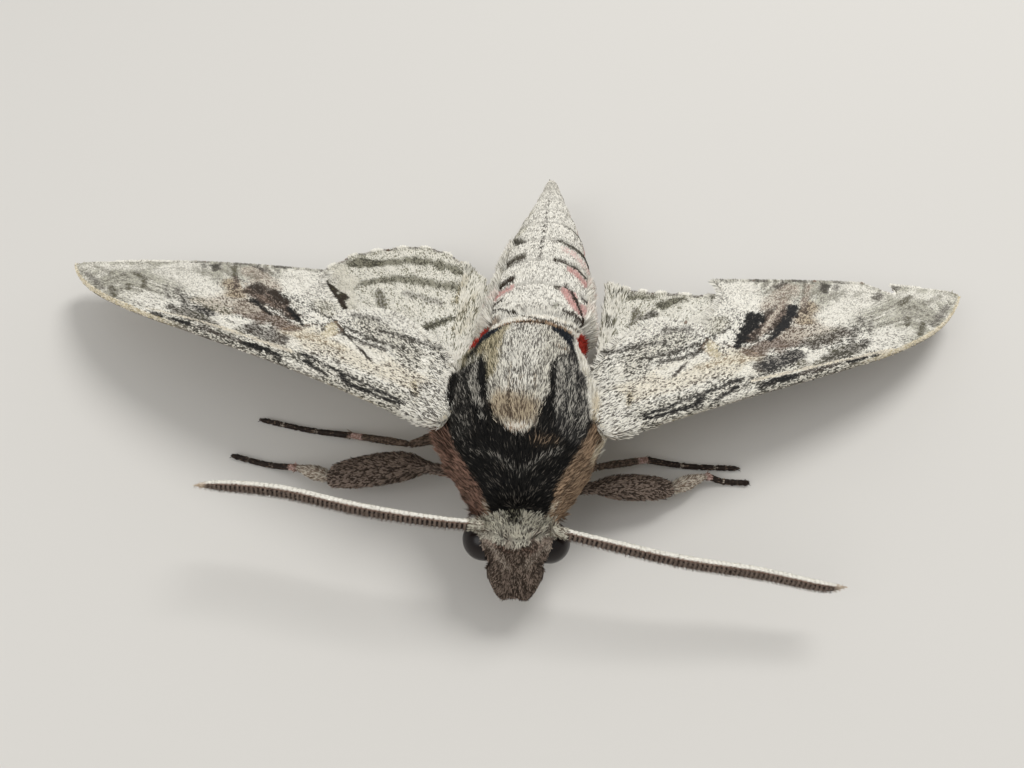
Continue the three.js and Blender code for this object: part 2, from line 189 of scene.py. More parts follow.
class Paint:
    """Pale tone, dark tone and share of dark hairs at many points, laid on in layers."""

    def __init__(self, count, pale, dark, share):
        self.pale = np.tile(TONES[pale], (count, 1))
        self.dark = np.tile(TONES[dark], (count, 1))
        self.share = np.full(count, float(share))

    def lay(self, weight, pale, dark=None, share=None):
        weight = np.clip(weight, 0.0, 1.0)
        self.pale += (TONES[pale] - self.pale) * weight[:, None]
        if dark is not None:
            self.dark += (TONES[dark] - self.dark) * weight[:, None]
        if share is not None:
            self.share += (share - self.share) * weight

    def merge(self, weight, other):
        self.pale += (other.pale - self.pale) * weight[:, None]
        self.dark += (other.dark - self.dark) * weight[:, None]
        self.share += (other.share - self.share) * weight

    def fleck(self, change, low, high):
        self.share = np.clip(self.share + change, low, high)

    # the blend times shade: the skins use it as painted shade, since they lie deep under their coat
    def blended(self, shade):
        return (self.pale + (self.dark - self.pale) * self.share[:, None]) * shade

    def picked(self, rng):
        """One tone for each hair: mostly pale or mostly dark, as the share has it."""
        count = len(self.share)
        is_dark = rng.random(count) < self.share
        stray = rng.random(count) * MOST_BLEND
        mixed = np.where(is_dark, 1 - stray, stray)[:, None]
        light = rng.uniform(0.88, 1.06, count)[:, None]
        return (self.pale + (self.dark - self.pale) * mixed) * light


def lay_marks(paint, u, v, marks, wobble, scale=1.0):
    """Streaks and patches: a path, half width at its start and end, softness, then the paint.

    wobble frays their edges, and scale is the millimetres in one unit of u and of a path's first
    numbers.
    """
    u = u * scale
    for path, start, end, soft, pale, dark, share, strength in marks:
        away, t = from_line(u, v, [(first * scale, second) for first, second in path])
        half = start + (end - start) * t
        frayed = away + wobble * np.minimum(1.0, 1.6 * half + 0.15)
        paint.lay(fade(frayed, half - 0.3 * soft, half + soft) * strength, pale, dark, share)


# ---- finishes ------------------------------------------------------------------------------------

def feed(tree, socket, given):
    """Link another node's output to a socket, or set the socket to a value."""
    if isinstance(given, bpy.types.NodeSocket):
        tree.links.new(given, socket)
    else:
        socket.default_value = given


def add_node(tree, kind, settings=None, **inputs):
    """The outputs of a new node. An underscore stands for the space in an input's name."""
    node = tree.nodes.new("ShaderNode" + kind)
    for label, value in (settings or {}).items():
        setattr(node, label, value)
    for label, given in inputs.items():
        feed(tree, node.inputs[label.replace("_", " ")], given)
    return node.outputs


def maths(tree, operation, *given):
    """The result of one operation on values or other nodes' outputs."""
    node = tree.nodes.new("ShaderNodeMath")
    node.operation = operation
    for socket, value in zip(node.inputs, given):
        feed(tree, socket, value)
    return node.outputs[0]


def new_group(name, size, third, value):
    """An empty group that turns a colour, a size and a third input into a colour and a height."""
    group = bpy.data.node_groups.new(name, "ShaderNodeTree")
    for label, kind, start in (("Color", "NodeSocketColor", (0.5, 0.5, 0.5, 1)),
                               ("Size", "NodeSocketFloat", size), (third, "NodeSocketFloat", value)):
        socket = group.interface.new_socket(name=label, in_out="INPUT", socket_type=kind)
        socket.default_value = start
    for label, kind in (("Color", "NodeSocketColor"), ("Height", "NodeSocketFloat")):
        group.interface.new_socket(name=label, in_out="OUTPUT", socket_type=kind)
    given = group.nodes.new("NodeGroupInput").outputs
    place = add_node(group, "TexCoord")["Object"]
    return group, given, place


def give_out(group, given, shade, height):
    """End a group: its colour scaled by shade, and its height."""
    made = group.nodes.new("NodeGroupOutput").inputs
    tinted = add_node(group, "VectorMath", {"operation": "SCALE"}, Vector=given["Color"], Scale=shade)
    feed(group, made["Color"], tinted[0])
    feed(group, made["Height"], height)
    return group


def fine_grain_group():
    """Cloudy grain of a given size that lightens and darkens a colour and lifts the surface."""
    group, given, place = new_group("FineGrain", 900.0, "Contrast", 0.2)
    noise = add_node(group, "TexNoise", Vector=place, Scale=given["Size"], Detail=3.0,
                     Roughness=0.6)["Fac"]
    centred = maths(group, "MULTIPLY_ADD", noise, 2.0, -1.0)
    swing = maths(group, "MULTIPLY_ADD", centred, given["Contrast"], 1.0)
    return give_out(group, given, swing, noise)


def cells_group():
    """Fine cells, as the scale rows of a skin or the facets of an eye: a height and a dark edge."""
    group, given, place = new_group("FineCells", 3000.0, "Edge", 0.4)
    away = add_node(group, "TexVoronoi", Vector=place, Scale=given["Size"], Randomness=0.35)["Distance"]
    dome = add_node(group, "MapRange", Value=away, From_Max=0.7, To_Min=1.0, To_Max=0.0)["Result"]
    rest = maths(group, "SUBTRACT", 1.0, given["Edge"])
    shade = maths(group, "MULTIPLY_ADD", dome, given["Edge"], rest)
    return give_out(group, given, shade, dome)


FINE_GRAIN = fine_grain_group()
FINE_CELLS = cells_group()
ROUGHNESS_SWING = 0.08


def finish(name, rough, grain, cells=None, bump=0.25, depth=0.01, specular=0.2, coat=0.0, colour=None):
    """A finish with the painted markings, or one colour, under fine grain and, if given, fine cells."""
    material = bpy.data.materials.new(name)
    material.use_nodes = True
    tree = material.node_tree
    shader = tree.nodes["Principled BSDF"].inputs
    shader["Specular IOR Level"].default_value = specular
    shader["Coat Weight"].default_value = coat
    shader["Coat Roughness"].default_value = 0.12
    if colour is None:
        base = add_node(tree, "Attribute", {"attribute_name": "markings"})
    else:
        base = add_node(tree, "RGB")
        base["Color"].default_value = (*TONES[colour], 1)
    grained = add_node(tree, "Group", {"node_tree": FINE_GRAIN}, Color=base["Color"], Size=grain[0],
                       Contrast=grain[1])
    last = grained
    if cells is not None:
        last = add_node(tree, "Group", {"node_tree": FINE_CELLS}, Color=grained["Color"], Size=cells[0],
                        Edge=cells[1])
    roughness = add_node(tree, "MapRange", Value=grained["Height"], To_Min=rough - ROUGHNESS_SWING,
                         To_Max=rough + ROUGHNESS_SWING)
    relief = add_node(tree, "Bump", Strength=bump, Distance=depth * MM, Height=last["Height"])
    feed(tree, shader["Base Color"], last["Color"])
    feed(tree, shader["Roughness"], roughness["Result"])
    feed(tree, shader["Normal"], relief["Normal"])
    return material


FINISHES = {name: finish(name, **looks) for name, looks in {
    "body_skin": {"rough": 0.75, "grain": (1500.0, 0.25), "bump": 0.5, "depth": 0.03},
    "wing_skin": {"rough": 0.7, "grain": (1800.0, 0.2), "cells": (4200.0, 0.35), "bump": 0.5,
                  "depth": 0.03, "specular": 0.25},
    "long_hair": {"rough": 0.62, "grain": (2600.0, 0.22), "specular": 0.1},
    "body_scales": {"rough": 0.6, "grain": (2400.0, 0.18)},
    "wing_scales": {"rough": 0.58, "grain": (3000.0, 0.16)},
    "leg_scales": {"rough": 0.62, "grain": (2600.0, 0.2)},
    "leg_skin": {"rough": 0.5, "grain": (2200.0, 0.25), "bump": 0.4, "depth": 0.02},
    "feeler": {"rough": 0.55, "grain": (2600.0, 0.15), "bump": 0.4, "depth": 0.015},
    "feeler_hair": {"rough": 0.5, "grain": (3000.0, 0.12), "bump": 0.2},
    # near-black eyes: their own dark colour, made darker still as painted shade of eyes in deep shadow
    "eye": {"rough": 0.3, "grain": (700.0, 0.35), "cells": (9000.0, 0.3), "bump": 0.35,
            "depth": 0.006, "specular": 0.22, "coat": 0.12, "colour": "chocolate"},
    "claw": {"rough": 0.3, "grain": (2000.0, 0.25), "bump": 0.2, "specular": 0.5,
             "colour": "chocolate"},
    "spur": {"rough": 0.5, "grain": (2400.0, 0.2), "bump": 0.3, "colour": "mauve"},
}.items()}


# ---- meshes --------------------------------------------------------------------------------------

def mesh_piece(name, points, corners, sizes, material, tones, patches=None):
    """A mesh object from points, the corner list of its faces and each face's corner count."""
    mesh = bpy.data.meshes.new(name)
    mesh.vertices.add(len(points))
    mesh.vertices.foreach_set("co", put(points).astype(np.float32).ravel())
    mesh.loops.add(len(corners))
    mesh.loops.foreach_set("vertex_index", np.asarray(corners, np.int32))
    mesh.polygons.add(len(sizes))
    starts = np.concatenate([[0], np.cumsum(sizes)[:-1]]).astype(np.int32)
    mesh.polygons.foreach_set("loop_start", starts)
    mesh.update(calc_edges=True)
    mesh.validate()
    mesh.shade_smooth()
    if tones is not None:
        layer = mesh.color_attributes.new(name="markings", type="FLOAT_COLOR", domain="POINT")
        rgba = np.ones((len(points), 4), np.float32)
        rgba[:, :3] = np.clip(tones, 0, 1)
        layer.data.foreach_set("color", rgba.ravel())
    if patches is not None:
        layer = mesh.uv_layers.new(name="OFBake")
        layer.data.foreach_set("uv", patches[corners].astype(np.float32).ravel())
    mesh.materials.append(FINISHES[material])
    piece = bpy.data.objects.new(name, mesh)
    bpy.context.scene.collection.objects.link(piece)
    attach(piece, "root")
    return piece


def quad_piece(name, points, quads, material, tones=None):
    return mesh_piece(name, points, quads.ravel(), np.full(len(quads), 4), material, tones)


def ring_faces(rings, columns):
    """Quads over closed rings of points, each ring joined to the next."""
    row = np.arange(rings - 1)[:, None]
    column = np.arange(columns)[None, :]
    after = (column + 1) % columns
    quads = np.stack(np.broadcast_arrays(
        row * columns + column, row * columns + after,
        (row + 1) * columns + after, (row + 1) * columns + column), axis=-1)
    return quads.reshape(-1, 4)


def closed_faces(rings, columns, turned_first):
    """Quads over closed rings of points and over the flat ends of the first and the last."""
    caps = []
    for start, turned in ((0, turned_first), ((rings - 1) * columns, not turned_first)):
        for k in range(columns // 2 - 1):
            cap = [start + k, start + k + 1, start + columns - 2 - k, start + columns - 1 - k]
            caps.append(cap[::-1] if turned else cap)
    return np.vstack([ring_faces(rings, columns), caps])


def facing_out(points, quads):
    """The same quads, turned over if they face into the closed shape."""
    a, b, c, d = (points[quads[:, k]] for k in range(4))
    volume = (a * np.cross(b, c)).sum() + (a * np.cross(c, d)).sum()
    return quads if volume > 0 else quads[:, ::-1]


class Skin:
    """A surface that a coat grows on: points, quads, and values at each point to go by."""

    def __init__(self, points, quads, **values):
        self.points = points
        self.quads = quads
        self.values = values
        self.triangles = np.vstack([quads[:, [0, 1, 2]], quads[:, [0, 2, 3]]])
        self.find_normals()

    def find_normals(self):
        a, b, c = (self.points[self.triangles[:, k]] for k in range(3))
        facing = np.cross(b - a, c - a)
        self.areas = np.linalg.norm(facing, axis=1) / 2
        summed = np.zeros_like(self.points)
        for k in range(3):
            for axis in range(3):
                summed[:, axis] += np.bincount(
                    self.triangles[:, k], facing[:, axis], minlength=len(self.points))
        self.normals = unit(summed)

    def scatter(self, spacing, seed, wanted):
        """Even roots about spacing apart where wanted, with every value blended at each."""
        rng = np.random.default_rng([SEED, seed])
        keep = wanted[self.triangles].mean(axis=1) > 0.5
        triangles = self.triangles[keep]
        areas = self.areas[keep]
        tries = int(areas.sum() / spacing ** 2 * TRIES_TO_A_CELL)
        chosen = np.searchsorted(np.cumsum(areas), rng.random(tries) * areas.sum())
        chosen = np.minimum(chosen, len(areas) - 1)
        u = np.sqrt(rng.random(tries))
        v = rng.random(tries)
        shares = np.stack([1 - u, u * (1 - v), u * v], axis=1)
        corners = triangles[chosen]

        def blend(values):
            extra = (slice(None), slice(None)) + (None,) * (values.ndim - 1)
            return (values[corners] * shares[extra]).sum(axis=1)

        places = blend(self.points)
        cells = np.floor(places / spacing).astype(np.int64) + CELL_RANGE // 2
        keys = cells @ np.array([CELL_RANGE ** 2, CELL_RANGE, 1])
        first = np.unique(keys, return_index=True)[1]
        first = first[rng.permutation(len(first))]
        corners = corners[first]
        shares = shares[first]
        roots = {name: blend(values) for name, values in self.values.items()}
        roots["point"] = places[first]
        roots["normal"] = unit(blend(self.normals))
        return roots, rng


# Shapes of a hair or scale seen from above: share of its length, share of its width.
HAIR = [(0.0, 0.55), (0.35, 1.0), (0.72, 0.75), (1.0, 0.0)]
SCALE = [(0.0, 0.45), (0.55, 1.0), (1.0, 0.72)]
PATCH = 0.003                     # size of each hair's patch on the OFBake map
SHADED = 0.45                     # share of a hair's length over which it lightens from its root


def on_points(function):
    """The same function, of roots in place of points."""
    return lambda roots: function(roots["point"])


class Pelt:
    """A skin and what its coats share: functions of their roots and a finish. Its slot is not used."""

    def __init__(self, skin, paint, lie, unwrap, slot, material="long_hair"):
        self.skin = skin
        self.paint = paint
        self.lie = lie
        self.unwrap = unwrap
        self.slot = slot
        self.material = material

    def coat(self, name, spacing, seed, wanted, *looks, **more):
        self.grow(name, *self.skin.scatter(spacing, seed, wanted), *looks, **more)

    def grow(self, name, roots, rng, shape, length, width, lift, paint=None, lie=None, slot=None,
             material=None, droop=0.1, stray=12.0, root_shade=0.62, sink=0.03):
        """A coat of hairs or scales, one at each root, each a narrow blade bent over the skin."""
        tones = (paint or self.paint(roots)).picked(rng)
        lie = self.lie(roots) if lie is None else lie
        count = len(roots["point"])
        normal = roots["normal"]
        lie = unit(lie - normal * (lie * normal).sum(axis=1, keepdims=True))
        across = np.cross(normal, lie)
        turn = np.radians(rng.normal(0.0, stray, count))[:, None]
        lie = lie * np.cos(turn) + across * np.sin(turn)
        across = np.cross(normal, lie)
        length = np.broadcast_to(length, count) * rng.uniform(0.78, 1.18, count)
        width = np.broadcast_to(width, count) * rng.uniform(0.8, 1.2, count)
        lift = np.radians(np.broadcast_to(lift, count) * rng.uniform(0.6, 1.4, count))
        sway = rng.normal(0.0, 0.1, count)
        roll = rng.normal(0.0, 0.3, count)[:, None]
        patch_at = self.unwrap(roots)
        rows = []
        shades = []
        places = []
        for t, wide in shape:
            forward = length * t * np.cos(lift)
            rise = length * (t * np.sin(lift) - droop * t * t) - sink
            middle = (roots["point"] + lie * forward[:, None] + normal * rise[:, None]
                      + across * (sway * length * t * t)[:, None])
            half = (across * np.cos(roll) + normal * np.sin(roll)) * (width * wide / 2)[:, None]
            # each hair is darker towards its root: partly the hair's own darker base, partly painted
            # shade deep in the coat
            shade = root_shade + (1 - root_shade) * min(1.0, t / SHADED)
            for way in (1, -1) if wide > 0 else (0,):
                rows.append(middle + way * half)
                shades.append(tones * shade)
                places.append(patch_at + PATCH * np.array([-0.5 * way, t - 0.5]))
        each = len(rows)
        points = np.stack(rows, axis=1).reshape(-1, 3)
        points[:, 2] = np.maximum(points[:, 2], 0.0)
        shades = np.stack(shades, axis=1).reshape(-1, 3)
        places = np.stack(places, axis=1).reshape(-1, 2)
        pattern = []
        sizes = []
        for k in range(0, each - 3, 2):
            pattern += [k + 1, k + 3, k + 2, k]
            sizes += [4]
        if each % 2:
            pattern += [each - 2, each - 1, each - 3]
            sizes += [3]
        corners = (np.arange(count)[:, None] * each + np.array(pattern)).ravel()
        return mesh_piece(name, points, corners, np.tile(sizes, count),
                          material or self.material, shades, places)


# ---- trunk, head and palps as one skin -----------------------------------------------------------

# y, sideways middle, middle height, half width, half height: the outside of the coat
TRUNK = [
    [-9.5, 0, 7.0, 2.8, 3.0], [-8.2, 0, 7.0, 3.7, 4.1], [-6.2, 0, 7.2, 4.95, 5.0],
    [-3.5, 0, 7.4, 6.2, 5.6], [-0.8, 0, 7.5, 6.75, 5.8], [3, 0, 7.5, 6.4, 5.7],
    [6, 0.1, 7.4, 5.6, 5.4], [7.6, 0.3, 7.3, 5.3, 5.1], [9.5, 0.9, 7.1, 5.5, 4.9],
    [13, 1.3, 7.0, 5.4, 4.7], [17, 1.6, 6.8, 5.1, 4.4], [21, 1.85, 6.5, 4.6, 3.9],
    [25, 2.05, 6.1, 3.8, 3.3], [29, 2.25, 5.6, 2.8, 2.5], [33, 2.4, 5.1, 1.8, 1.7],
    [36, 2.5, 4.7, 1.15, 1.1], [37.6, 2.5, 4.6, 0.55, 0.55],
]
RINGS = [9.6, 13.4, 17.2, 21.0, 24.7, 28.2, 31.4, 34.2, 37.6]
THORAX_END = 7.5
HEAD_END = -9.45
FLESH = (["head", "palp_left", "palp_right", "collar", "thorax", "tegula_left", "tegula_right",
          "metathorax", "abdomen_tip"] + [f"abdomen_{ring}" for ring in range(1, 8)])
JOIN_GROW = 0.28                  # how far each solid swells so that the cuts between them close
SKIN_GRAIN = 0.16                 # size of the joined skin's faces


def around_trunk(points):
    """Degrees round the trunk from the top, positive to the left, and the share of its radius."""
    middle, height, half_width, half_height = np.moveaxis(along(TRUNK, points[:, 1]), -1, 0)
    x = (points[:, 0] - middle) / half_width
    z = (points[:, 2] - height) / half_height
    return np.degrees(np.arctan2(x, z)), np.hypot(x, z)


def angle_of(points):
    return around_trunk(points)[0]


def joined_flesh():
    """The flesh nodes swollen until they meet, remeshed as one surface and smoothed."""
    bm = bmesh.new()
    for name in FLESH:
        piece = bmesh.new()
        piece.from_mesh(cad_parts[name].data)
        bmesh.ops.remove_doubles(piece, verts=piece.verts, dist=2e-6)
        bmesh.ops.recalc_face_normals(piece, faces=piece.faces)
        piece.normal_update()
        swollen = [vert.co / MM + vert.normal * JOIN_GROW for vert in piece.verts]
        made = [bm.verts.new(place) for place in swollen]
        for face in piece.faces:
            bm.faces.new([made[vert.index] for vert in face.verts])
        piece.free()
    mesh = bpy.data.meshes.new("joined_flesh")
    bm.to_mesh(mesh)
    bm.free()
    rough = bpy.data.objects.new("joined_flesh", mesh)
    bpy.context.scene.collection.objects.link(rough)
    remesh = rough.modifiers.new("remesh", "REMESH")
    remesh.mode = "VOXEL"
    remesh.voxel_size = SKIN_GRAIN
    soften = rough.modifiers.new("soften", "SMOOTH")
    soften.factor = 0.5
    soften.iterations = 14
    bpy.context.view_layer.update()
    smoothed = rough.evaluated_get(bpy.context.evaluated_depsgraph_get()).to_mesh()
    points = np.zeros(len(smoothed.vertices) * 3)
    smoothed.vertices.foreach_get("co", points)
    corners = np.zeros(len(smoothed.loops), np.int64)
    smoothed.loops.foreach_get("vertex_index", corners)
    bpy.data.objects.remove(rough)
    return points.reshape(-1, 3) + ORIGIN, corners.reshape(-1, 4)


def coat_depth(points):
    """How far the skin lies inside the outside of the coat."""
    y = points[:, 1]
    angle, _ = around_trunk(points)
    depth = np.full(len(points), 0.36)
    on_rear = smooth(y, THORAX_END, THORAX_END + 0.6)
    depth += (0.75 - depth) * on_rear
    depth += (0.3 - depth) * smooth(y, 9.4, 10.6)
    on_head = fade(y, HEAD_END - 0.5, HEAD_END + 0.2)
    crown = on_head * smooth(points[:, 2], 7.0, 8.6) * smooth(y, -11.6, -10.8)
    depth += (0.28 - depth) * on_head
    depth += 0.5 * crown
    cheek = smooth(np.abs(points[:, 0]), 1.3, 1.8) * band(y, -11.7, 0.15, 0.55)
    depth -= 0.2 * on_head * cheek * band(points[:, 2], 4.2, 0.2, 0.6)
    # the parting along the crown and the grooves beside the shoulder covers
    depth += 0.12 * crown * band(points[:, 0], 0.0, 0.15, 0.5)
    inner = band(np.abs(angle + 3.0), 25.0, 1.5, 4.0)
    depth += 0.16 * inner * band(y, -0.5, 3.0, 2.0)
    # each ring of the abdomen rises to its rear edge, then drops to the next
    for start, end in zip(RINGS[:-1], RINGS[1:]):
        t = np.clip((y - start) / (end - start), 0, 1)
        inside = (y > start) & (y <= end)
        rise = 0.2 * smooth(t, 0.0, 0.9) * (1 - 0.6 * smooth(t, 0.93, 1.0))
        depth -= np.where(inside, rise - 0.1, 0.0)
    return depth


def body_skin():
    points, quads = joined_flesh()
    skin = Skin(points, quads)
    skin.points = points - skin.normals * (JOIN_GROW + coat_depth(points))[:, None]
    # round off the corner of the palps under each eye
    x, y, z = skin.points.T
    corner = np.maximum(np.abs(x) - 2.15, 0.0) * smooth(-y, 10.8, 11.2) * fade(z, 5.2, 5.8)
    skin.points[:, 0] -= np.sign(x) * 0.8 * corner
    skin.find_normals()
    return skin


# ---- the body's markings -------------------------------------------------------------------------

# y, then degrees where the grey saddle starts on the moth's right and ends on its left.
SADDLE = [[-4.9, -4, -2], [-4.7, -9, 4], [-4.4, -14, 8], [-4, -20, 12], [-3, -25, 14], [-2, -28, 16],
          [0, -28.5, 19], [2, -31, 20], [3, -33, 26], [4.3, -38, 39], [5.5, -43, 45], [7.6, -50, 50]]
AROUND = 0.112                    # millimetres to a degree round the thorax

# Marks of the thorax: path in degrees and y, then widths in millimetres as for every mark.
THORAX_MARKS = [
    ([(-48, -5.2), (-28, -5.9), (-14, -6.7), (-1, -7.4), (14, -6.6), (24, -5.9), (35, -5.25)], 0.12, 0.12,
     0.3, "stone", "ink", 0.7, 0.85),
    ([(-44, -4.8), (-28, -5.4), (-14, -6.2), (-1, -6.9), (14, -6.1), (24, -5.4)], 0.08, 0.08, 0.15,
     "smoke", "ink", 0.99, 1.0),
    ([(11, -5.2), (24, -4.9)], 0.3, 0.3, 0.4, "fawn", "ink", 0.82, 0.6),
    ([(-30, -7.9), (-8, -8.9), (8, -8.8), (28, -7.7)], 0.12, 0.12, 0.3, "smoke", "ink", 0.7, 0.7),
    # shoulder covers
    ([(-50, -3.2), (-48, 3.0)], 1.2, 1.2, 0.4, "stone", "ink", 0.87, 0.9),
    ([(-31, -3.0), (-34, -1.7), (-39, 0.6), (-40, 2.9)], 0.12, 0.3, 0.25, "ash", "ink", 0.36, 0.9),
    ([(-52, -1.0), (-52, 3.0)], 0.16, 0.25, 0.3, "stone", "ink", 0.6, 0.8),
    ([(41, -3.2), (40, 3.6)], 1.4, 1.4, 0.4, "stone", "soot", 0.78, 0.9),
    ([(33, -2.4), (35, 3.4)], 0.4, 0.8, 0.5, "ash", "soot", 0.6, 0.8),
    ([(26, -2.2), (27, 2.4)], 0.12, 0.26, 0.2, "ash", "soot", 0.38, 0.9),
    ([(48, -3.0), (47, 0.0)], 0.2, 0.2, 0.25, "ash", "soot", 0.45, 0.8),
    ([(33, 3.0), (56, 3.4)], 0.25, 0.3, 0.4, "ash", "soot", 0.5, 0.75),
    ([(-36, 3.4), (-58, 3.8)], 0.25, 0.3, 0.4, "chalk", "olive", 0.5, 0.8),
]
SADDLE_MARKS = [
    ([(-12, -2.6), (0, -2.8)], 1.0, 1.1, 1.2, "tan", "bark", 0.36, 0.85),
    ([(-8, -4.4), (3, -4.3)], 0.2, 0.2, 0.25, "white", "fawn", 0.36, 0.8),
    ([(-2, 0.2), (-3, 6.6)], 1.0, 1.9, 1.2, "white", "smoke", 0.38, 0.85),
    ([(-26, 1.0), (-30, 7.6)], 0.5, 1.0, 0.5, "straw", "olive", 0.48, 0.85),
    ([(22, 5.6), (26, 7.6)], 0.4, 0.6, 0.5, "chalk", "smoke", 0.5, 0.6),
    ([(-9, -3.4), (-10, 1.5)], 0.05, 0.05, 0.14, "tan", "umber", 0.8, 0.6),
    ([(6, -3.0), (9, 1.5)], 0.05, 0.05, 0.14, "tan", "umber", 0.8, 0.6),
    ([(-1, -3.6), (-2, 0.5)], 0.04, 0.04, 0.12, "tan", "umber", 0.75, 0.5),
]
EDGE_MARKS = [
    ([(12, -3.8), (16, -2.2), (19, -0.9), (19, 0.2), (22, 1.1), (26, 2.6), (31, 3.5), (40, 4.2)], 0.12,
     0.08, 0.12, "smoke", "ink", 0.98, 1.0),
    ([(-12, -4.65), (-21, -3.6), (-26, -2.0), (-29, -0.5), (-31, 1.1), (-34, 2.6), (-38, 4.0)], 0.2, 0.14,
     0.16, "smoke", "ink", 0.98, 1.0),
    # rear lobes, with a brown edge in front, and the blue-black tufts beside them
    ([(32, 5.0), (33, 6.2)], 0.75, 0.6, 0.25, "chalk", "smoke", 0.34, 0.95),
    ([(26, 4.6), (40, 4.55)], 0.07, 0.07, 0.12, "fawn", "umber", 0.7, 0.9),
    ([(-38, 4.6), (-38, 6.6)], 0.8, 0.7, 0.4, "straw", "olive", 0.44, 0.85),
    ([(-29, 4.2), (-45, 4.3)], 0.07, 0.07, 0.12, "straw", "umber", 0.75, 0.8),
    ([(28, 7.3), (44, 6.8), (60, 6.8)], 0.4, 1.1, 0.16, "steel", "blue_black", 0.94, 1.0),
    ([(44, 6.2), (52, 5.6)], 0.5, 0.4, 0.16, "steel", "blue_black", 0.94, 1.0),
    ([(-33, 7.3), (-42, 6.9), (-58, 6.6)], 0.7, 0.9, 0.18, "steel", "blue_black", 0.94, 1.0),
    ([(-30, 7.7), (-8, 7.3), (10, 7.3), (24, 7.5)], 0.08, 0.08, 0.14, "fawn", "bark", 0.55, 0.85),
]
# Hair beside the shoulder covers, over the wing roots, and the stripes from there to the head.
SIDE_MARKS = [
    ([(74, -0.2), (74, 6.4)], 2.4, 2.0, 0.5, "white", "ash", 0.08, 1.0),
    ([(74, -3.6), (74, -0.6)], 1.3, 1.6, 0.5, "cream", "tan", 0.3, 0.95),
    ([(-76, 3.6), (-76, 6.6)], 1.2, 1.4, 0.7, "white", "olive", 0.3, 0.95),
    ([(-64, 4.0), (-66, 7.0)], 0.3, 0.3, 0.3, "straw", "olive", 0.5, 0.8),
    ([(64, -3.1), (58, -5.0), (53, -6.5), (50, -8.0)], 0.9, 0.65, 0.35, "fawn", "bark", 0.42, 1.0),
    ([(-73, -1.2), (-69, -4.0), (-64, -5.2), (-60, -6.5), (-53, -8.4)], 0.8, 0.6, 0.35, "rosy_fawn",
     "umber", 0.4, 1.0),
    ([(52, -9.0), (60, -8.8)], 0.45, 0.45, 0.4, "cream", "fawn", 0.3, 0.9),
    ([(-50, -9.2), (-60, -9.0)], 0.45, 0.45, 0.4, "bone", "fawn", 0.4, 0.8),
    ([(70, 7.6), (86, 8.4)], 0.5, 0.6, 0.2, "brick", "brick", 0.3, 1.0),
    ([(-64, 7.2), (-88, 8.4)], 0.5, 0.7, 0.2, "brick", "brick", 0.3, 1.0),
]


def thorax_paint(points):
    y = points[:, 1]
    angle = angle_of(points)
    side = np.abs(angle)
    wander = cloud(1, angle / 6, y / 1.2) - 0.5

    def lay(paint, marks, wobble):
        lay_marks(paint, angle, y, marks, wobble * wander, AROUND)

    paint = Paint(len(points), "smoke", "ink", 0.95)
    lay(paint, THORAX_MARKS, 0.4)
    start, end = np.moveaxis(along(SADDLE, y), -1, 0)
    saddle = (smooth(angle + 2 * wander, start - 1.5, start + 1.5) * smooth(y, -5.0, -4.6)
              * fade(angle + 2 * wander, end - 1.5, end + 1.5))
    grey = Paint(len(points), "chalk", "smoke", 0.42)
    lay(grey, SADDLE_MARKS, 0.8)
    paint.merge(saddle, grey)
    lay(paint, EDGE_MARKS, 0.15)
    # flanks below the marks: fawn and brown, paler underneath, and browner and darker on the moth's right
    # as painted shade of the side turned from the light
    front = fade(y, -4.6, -1.8)
    start = np.clip(50 + 3.2 * (y + 8.5), 48, 66)
    lower = smooth(side, start, start + 5)
    shaded_right = smooth(-angle, -10, 10)
    paint.lay(lower * (1 - front), "white", "stone", 0.26)
    lay(paint, SIDE_MARKS, 0.4)
    # on the right the brown reaches further back and darker brown is laid over the flank: painted shade
    top_of_brown = -4.0 + 5.4 * shaded_right
    below_wing = smooth(side, 76, 86) * fade(y, top_of_brown, top_of_brown + 1.6)
    brown = np.maximum(lower * front * smooth(side, start + 3, start + 9) * fade(y, -5.2, -4.0),
                       below_wing)
    paint.lay(brown, "fawn", "bark", 0.42)
    paint.lay(np.maximum(brown, lower * fade(y, 1.4, 3.2)) * shaded_right, "rosy_fawn", "umber", 0.46)
    paint.lay(smooth(side, 100, 120), "ash", "fur_brown", 0.35)
    return paint


ABDOMEN_AROUND = 0.09             # millimetres to a degree round the abdomen

